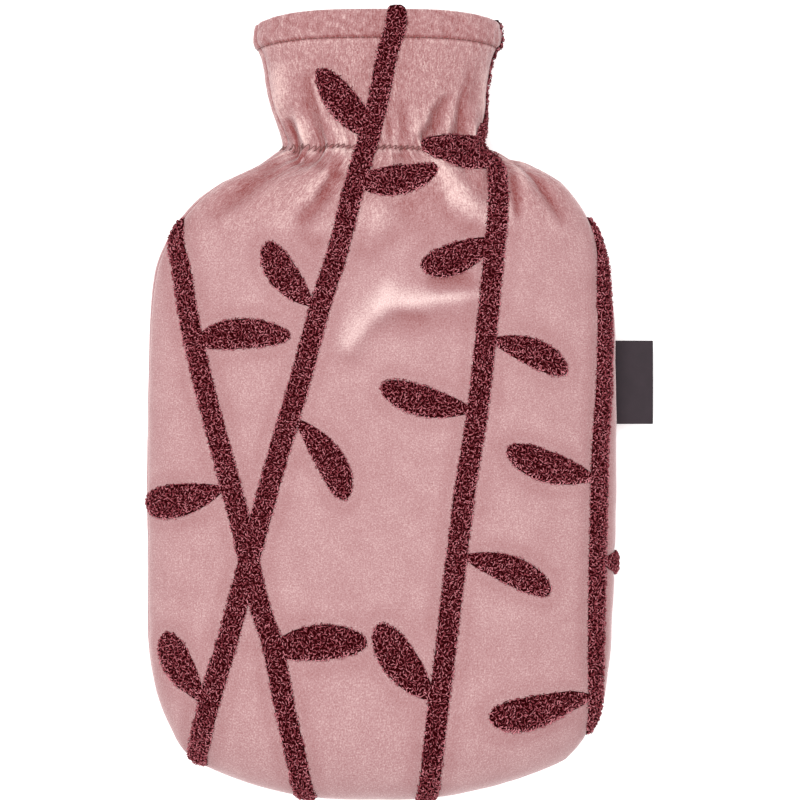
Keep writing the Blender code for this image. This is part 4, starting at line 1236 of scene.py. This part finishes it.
def finish_shader(tree, shader, colour, relief=None, strength=0.0, distance=0.0):
    """Gives a shader its colour, and a bump of some strength and distance where there is a relief."""
    tree.links.new(colour, shader.inputs["Base Color"])
    if relief is not None:
        sockets = {"Strength": strength, "Distance": distance, "Height": relief}
        bump = add_node(tree, "ShaderNodeBump", None, sockets)
        tree.links.new(bump.outputs["Normal"], shader.inputs["Normal"])


def cloth_coordinates(tree, title="cloth", stretch=(1.0, 1.0, 1.0)):
    """One of a piece's maps of the cloth, stretched for a pattern that runs one way."""
    uv = add_node(tree, "ShaderNodeUVMap", {"uv_map": title}).outputs["UV"]
    return add_node(
        tree, "ShaderNodeMapping", None, {"Vector": uv, "Scale": stretch}).outputs["Vector"]


def object_coordinates(tree):
    """Places on a piece, in metres."""
    return add_node(tree, "ShaderNodeTexCoord").outputs["Object"]


def noise(tree, vector, size, detail=2.0, rough=0.5, bend=0.0):
    """Noise with features of a size in metres, bent by its own swirls."""
    return add_node(
        tree, "ShaderNodeTexNoise", None,
        {"Vector": vector, "Scale": 1 / size, "Detail": detail, "Roughness": rough, "Distortion": bend},
    ).outputs["Fac"]


def point_value(tree, title):
    """A named value of a piece's points."""
    return add_node(tree, "ShaderNodeAttribute", {"attribute_name": title}).outputs["Fac"]


def colours_along(tree, value, *colours):
    """A colour between several, evenly placed from 0 to 1."""
    ramp = add_node(tree, "ShaderNodeValToRGB", None, {"Fac": value})
    stops = ramp.color_ramp.elements
    while len(stops) < len(colours):
        stops.new(0.5)
    for k, colour in enumerate(colours):
        stops[k].position = k / (len(colours) - 1)
        stops[k].color = (*colour, 1.0)
    return ramp.outputs["Color"]


def math_node(tree, operation, first, second=0.0):
    """One step of arithmetic on numbers or outputs."""
    return add_node(
        tree, "ShaderNodeMath", {"operation": operation}, {0: first, 1: second}).outputs["Value"]


def summed(tree, *terms):
    """The sum of outputs, each times its factor and taken about its middle."""
    total = 0.0
    for value, middle, factor in terms:
        part = math_node(tree, "MULTIPLY", math_node(tree, "SUBTRACT", value, middle), factor)
        total = math_node(tree, "ADD", part, total)
    return total


def rescaled(tree, value, low, high):
    """A value carried from its own range to the one from 0 to 1, and kept within it."""
    sockets = {"Value": value, "From Min": low, "From Max": high, "To Min": 0.0, "To Max": 1.0}
    return add_node(tree, "ShaderNodeMapRange", None, sockets).outputs["Result"]


def mixed(tree, share, first, second, blend="MIX"):
    """A colour between two colours, or the first one blended with the second as far as a share says."""
    sockets = {0: share}
    for index, colour in ((6, first), (7, second)):
        sockets[index] = colour if isinstance(colour, bpy.types.NodeSocket) else (*colour, 1.0)
    mix = add_node(tree, "ShaderNodeMix", {"data_type": "RGBA", "blend_type": blend}, sockets)
    return mix.outputs[2]


def shaded(colour, factor):
    """A colour made darker or lighter."""
    return tuple(min(1.0, channel * factor) for channel in colour)


def velour_material(cloth):
    """Short-pile velour: plain, darker and paler pile with painted highlights and shade from the tone,
    combed streaks, fine grain and a soft sheen.
    """
    material, tree, shader = new_material("velour_with_painted_shade", {
        "Roughness": 0.90, "Specular IOR Level": 0.10, "Sheen Weight": cloth.sheen,
        "Sheen Roughness": 0.38, "Sheen Tint": SHEEN_TINT,
    })
    patches = noise(tree, cloth_coordinates(tree), PATCH_SIZE, 3.0, 0.6)
    grain = noise(tree, cloth_coordinates(tree), GRAIN_SIZE, 2.0, 0.6, 0.3)
    combed = cloth_coordinates(tree, "combed", STREAK_STRETCH)
    streaks = noise(tree, combed, STREAK_SIZE, 2.0, 0.5, 1.2)
    comb = point_value(tree, "comb")
    streaks = math_node(tree, "MULTIPLY", math_node(tree, "SUBTRACT", streaks, 0.5), comb)
    # The tone carries the painted highlights and shade of the folds, the stitched rows and the yarn's
    # shadow; patches, grain and streaks are the pile's own.
    share = summed(
        tree, (point_value(tree, "tone"), -TONE_RANGE, 0.5 / TONE_RANGE), (patches, 0.5, PATCH_TONE),
        (grain, 0.5, GRAIN_TONE), (streaks, 0.0, STREAK_TONE),
    )
    pile = summed(tree, (grain, 0.5, GRAIN_RELIEF), (streaks, 0.0, STREAK_RELIEF))
    colour = colours_along(tree, share, cloth.dark_pile_and_shade, cloth.plain, cloth.pale_pile_and_highlight)
    colour = mixed(tree, comb, colour, COMBED_TINT, "MULTIPLY")
    finish_shader(tree, shader, colour, pile, 0.7, 0.0005)
    return material


def yarn_material(yarn):
    """Looped yarn: each loop has its own tone, darker at its feet as painted shade, and the bed between
    them is darkest, painted shade too.
    """
    material, tree, shader = new_material(
        "loops_of_yarn", {"Roughness": 0.95, "Specular IOR Level": 0.03})
    fibre = noise(tree, object_coordinates(tree), FIBRE_SIZE, 2.0, 0.6)
    share = summed(tree, (point_value(tree, "tone"), 0.0, LOOP_TONE), (fibre, 0.5, FIBRE_TONE))
    colour = colours_along(tree, share, yarn.dark, yarn.middle, yarn.light)
    finish_shader(tree, shader, colour, fibre, 0.5, 0.0002)
    return material


def thread_material(trim):
    """Matt sewing thread with a faint twist."""
    material, tree, shader = new_material("sewing_thread", {"Roughness": 0.7})
    twist = noise(tree, object_coordinates(tree), TWIST_SIZE, 1.0, 0.5)
    finish_shader(tree, shader, mixed(tree, twist, shaded(trim.thread, 0.6), tuple(trim.thread)))
    return material


def ribbon_material(trim):
    """Smooth woven ribbon: fine ribs across it and a faint change of tone."""
    material, tree, shader = new_material(
        "woven_ribbon", {"Roughness": 0.55, "Specular IOR Level": 0.20})
    plain = cloth_coordinates(tree)
    split = add_node(tree, "ShaderNodeSeparateXYZ", None, {"Vector": plain}).outputs
    ribs, picks = (
        math_node(tree, "SINE", math_node(tree, "MULTIPLY", split[axis], 2 * math.pi / spacing))
        for axis, spacing in (("Y", RIB_SPACING), ("X", PICK_SPACING))
    )
    weave = math_node(tree, "MULTIPLY", ribs, picks)
    cloudy = noise(tree, plain, CLOUD_SIZE, 2.0, 0.5)
    share = summed(
        tree, (rescaled(tree, weave, -1.0, 1.0), 0.0, WEAVE_TONE), (cloudy, 0.0, 1 - WEAVE_TONE))
    colour = mixed(tree, share, shaded(trim.ribbon, 0.62), shaded(trim.ribbon, 1.35))
    finish_shader(tree, shader, colour, weave, 0.35, 0.0001)
    return material


def floor_material(stage):
    """A plain pale floor with the faintest unevenness."""
    material, tree, shader = new_material("floor", {
        "Roughness": 0.9, "Specular IOR Level": 0.1, "Emission Color": WHITE,
        "Emission Strength": stage.glow,
    })
    patches = noise(tree, object_coordinates(tree), FLOOR_PATCH_SIZE, 2.0, 0.5)
    share = rescaled(tree, patches, 0.3, 0.7)
    finish_shader(tree, shader, mixed(tree, share, shaded(stage.floor, 0.985), tuple(stage.floor)))
    return material


def finish_piece(piece, material, slot, *nodes):
    """Gives a finished piece its material and its body, and hides the nodes that it stands for. The slot
    is not used.
    """
    piece.data.materials.append(material)
    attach(piece, BODY)
    if nodes:
        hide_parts(*nodes)


MATERIALS = {}
PANELS = {}


def material_for(make, settings):
    """The material that a function makes, made once. The solids' own plain ones stay apart from it."""
    if make not in MATERIALS:
        MATERIALS[make] = make(settings)
    return MATERIALS[make]


def cloth_panel(panel, scene):
    """A panel's surface, worked out once."""
    if panel not in PANELS:
        stems = [stem for some in VINES.values() for stem in some] if panel == "front" else []
        shapes = vine_shapes(stems, scene.cover_yarn.stem_width, -LOOP_SPREAD)
        PANELS[panel] = ClothPanel(panel, scene.cover_cloth, shapes)
    return PANELS[panel]


# Operators

FLOOR_SIZE, FLOOR_LEVEL = 6.0, -0.0002
KEY_PLACE, KEY_SIZE = (-0.15, 0.10, 1.50), 1.0
CAMERA_PLACE = (0.00805, 0.0015)
SENSOR_WIDTH = 36.0


class CoverAddStage(Operator):
    """Adds the pale floor, the soft lights and the camera"""

    bl_idname = "cover.add_stage"
    bl_label = "Stage"

    def execute(self, context):
        scene, stage = context.scene, context.scene.cover_stage
        bpy.ops.object.select_all(action="DESELECT")
        bpy.ops.mesh.primitive_plane_add(size=FLOOR_SIZE, location=(0.0, 0.0, FLOOR_LEVEL))
        floor = context.active_object
        floor.name = "floor"
        floor.data.materials.append(floor_material(stage))
        bpy.ops.object.light_add(type="AREA", location=KEY_PLACE)
        key = context.active_object
        key.name = "key_light"
        key.data.energy = stage.key
        key.data.size = KEY_SIZE
        key.rotation_euler = (-key.location).to_track_quat("-Z", "Y").to_euler()
        scene.world = bpy.data.worlds.new("room")
        scene.world.use_nodes = True
        background = scene.world.node_tree.nodes["Background"]
        background.inputs["Color"].default_value = WHITE
        background.inputs["Strength"].default_value = stage.sky
        bpy.ops.object.camera_add(location=(*CAMERA_PLACE, stage.distance), rotation=(0.0, 0.0, 0.0))
        camera = context.active_object
        camera.name = "camera"
        camera.data.sensor_width = SENSOR_WIDTH
        camera.data.lens = SENSOR_WIDTH * (stage.distance - SEAM_LEVEL) / stage.view_width
        scene.camera = camera
        scene.view_settings.view_transform = "Standard"
        return {"FINISHED"}


class CoverAddPanels(Operator):
    """Adds the front and back panels of velour"""

    bl_idname = "cover.add_panels"
    bl_label = "Velour panels"

    def execute(self, context):
        cloth = context.scene.cover_cloth
        for panel in ("front", "back"):
            surface = cloth_panel(panel, context.scene)
            piece = panel_piece(f"{panel}_velour", surface)
            finish_piece(piece, material_for(velour_material, cloth), "velour", f"{panel}_panel")
            surface.flat_size()
            surface.flat_area()
        return {"FINISHED"}


class CoverAddVines(Operator):
    """Adds the vines of looped yarn"""

    bl_idname = "cover.add_vines"
    bl_label = "Embroidered vines"

    def execute(self, context):
        yarn = context.scene.cover_yarn
        front = cloth_panel("front", context.scene)
        for node, stems in VINES.items():
            piece = vine_piece(f"{node}_yarn", front, stems, yarn)
            finish_piece(piece, material_for(yarn_material, yarn), "looped_yarn", node)
        return {"FINISHED"}


class CoverAddStitching(Operator):
    """Adds the hem's stitches and the zigzag over the elastic"""

    bl_idname = "cover.add_stitching"
    bl_label = "Stitching"

    def execute(self, context):
        trim = context.scene.cover_trim
        panels = [cloth_panel(name, context.scene) for name in ("front", "back")]
        hem = [stitch_row(panel, HEM_STITCH, trim) for panel in panels]
        zigzag = [zigzag_row(panel, trim) for panel in panels]
        for name, rows in (("hem_stitches", hem), ("elastic_zigzag", zigzag)):
            finish_piece(add_mesh(name, *joined(*rows)), material_for(thread_material, trim), None)
        return {"FINISHED"}


class CoverAddTab(Operator):
    """Adds the folded ribbon tab in the right seam"""

    bl_idname = "cover.add_tab"
    bl_label = "Side tab"

    def execute(self, context):
        trim = context.scene.cover_trim
        piece, flat = tab_piece("side_tab_ribbon", trim)
        finish_piece(piece, material_for(ribbon_material, trim), "ribbon", "side_tab")
        return {"FINISHED"}


class CoverPanel(Panel):
    """Lists the cover's settings and pieces"""

    bl_idname = "VIEW3D_PT_cover"
    bl_label = "Hot water bottle cover"
    bl_space_type = "VIEW_3D"
    bl_region_type = "UI"
    bl_category = "Cover"

    def draw(self, context):
        for group in SETTINGS:
            settings = getattr(context.scene, group)
            box = self.layout.box()
            for name in settings.__annotations__:
                box.prop(settings, name)
        for operator in OPERATORS:
            self.layout.operator(operator.bl_idname)


SETTINGS = {
    "cover_cloth": CoverCloth,
    "cover_yarn": CoverYarn,
    "cover_trim": CoverTrim,
    "cover_stage": CoverStage,
}
OPERATORS = (CoverAddStage, CoverAddPanels, CoverAddVines, CoverAddStitching, CoverAddTab)


def register():
    for cls in (*SETTINGS.values(), *OPERATORS, CoverPanel):
        bpy.utils.register_class(cls)
    for name, group in SETTINGS.items():
        setattr(bpy.types.Scene, name, PointerProperty(type=group))


def unregister():
    for name in SETTINGS:
        delattr(bpy.types.Scene, name)
    for cls in reversed((*SETTINGS.values(), *OPERATORS, CoverPanel)):
        bpy.utils.unregister_class(cls)


def main():
    register()
    bpy.ops.cover.add_stage()
    bpy.ops.cover.add_panels()
    bpy.ops.cover.add_vines()
    bpy.ops.cover.add_stitching()
    bpy.ops.cover.add_tab()
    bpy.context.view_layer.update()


if __name__ == "__main__":
    main()
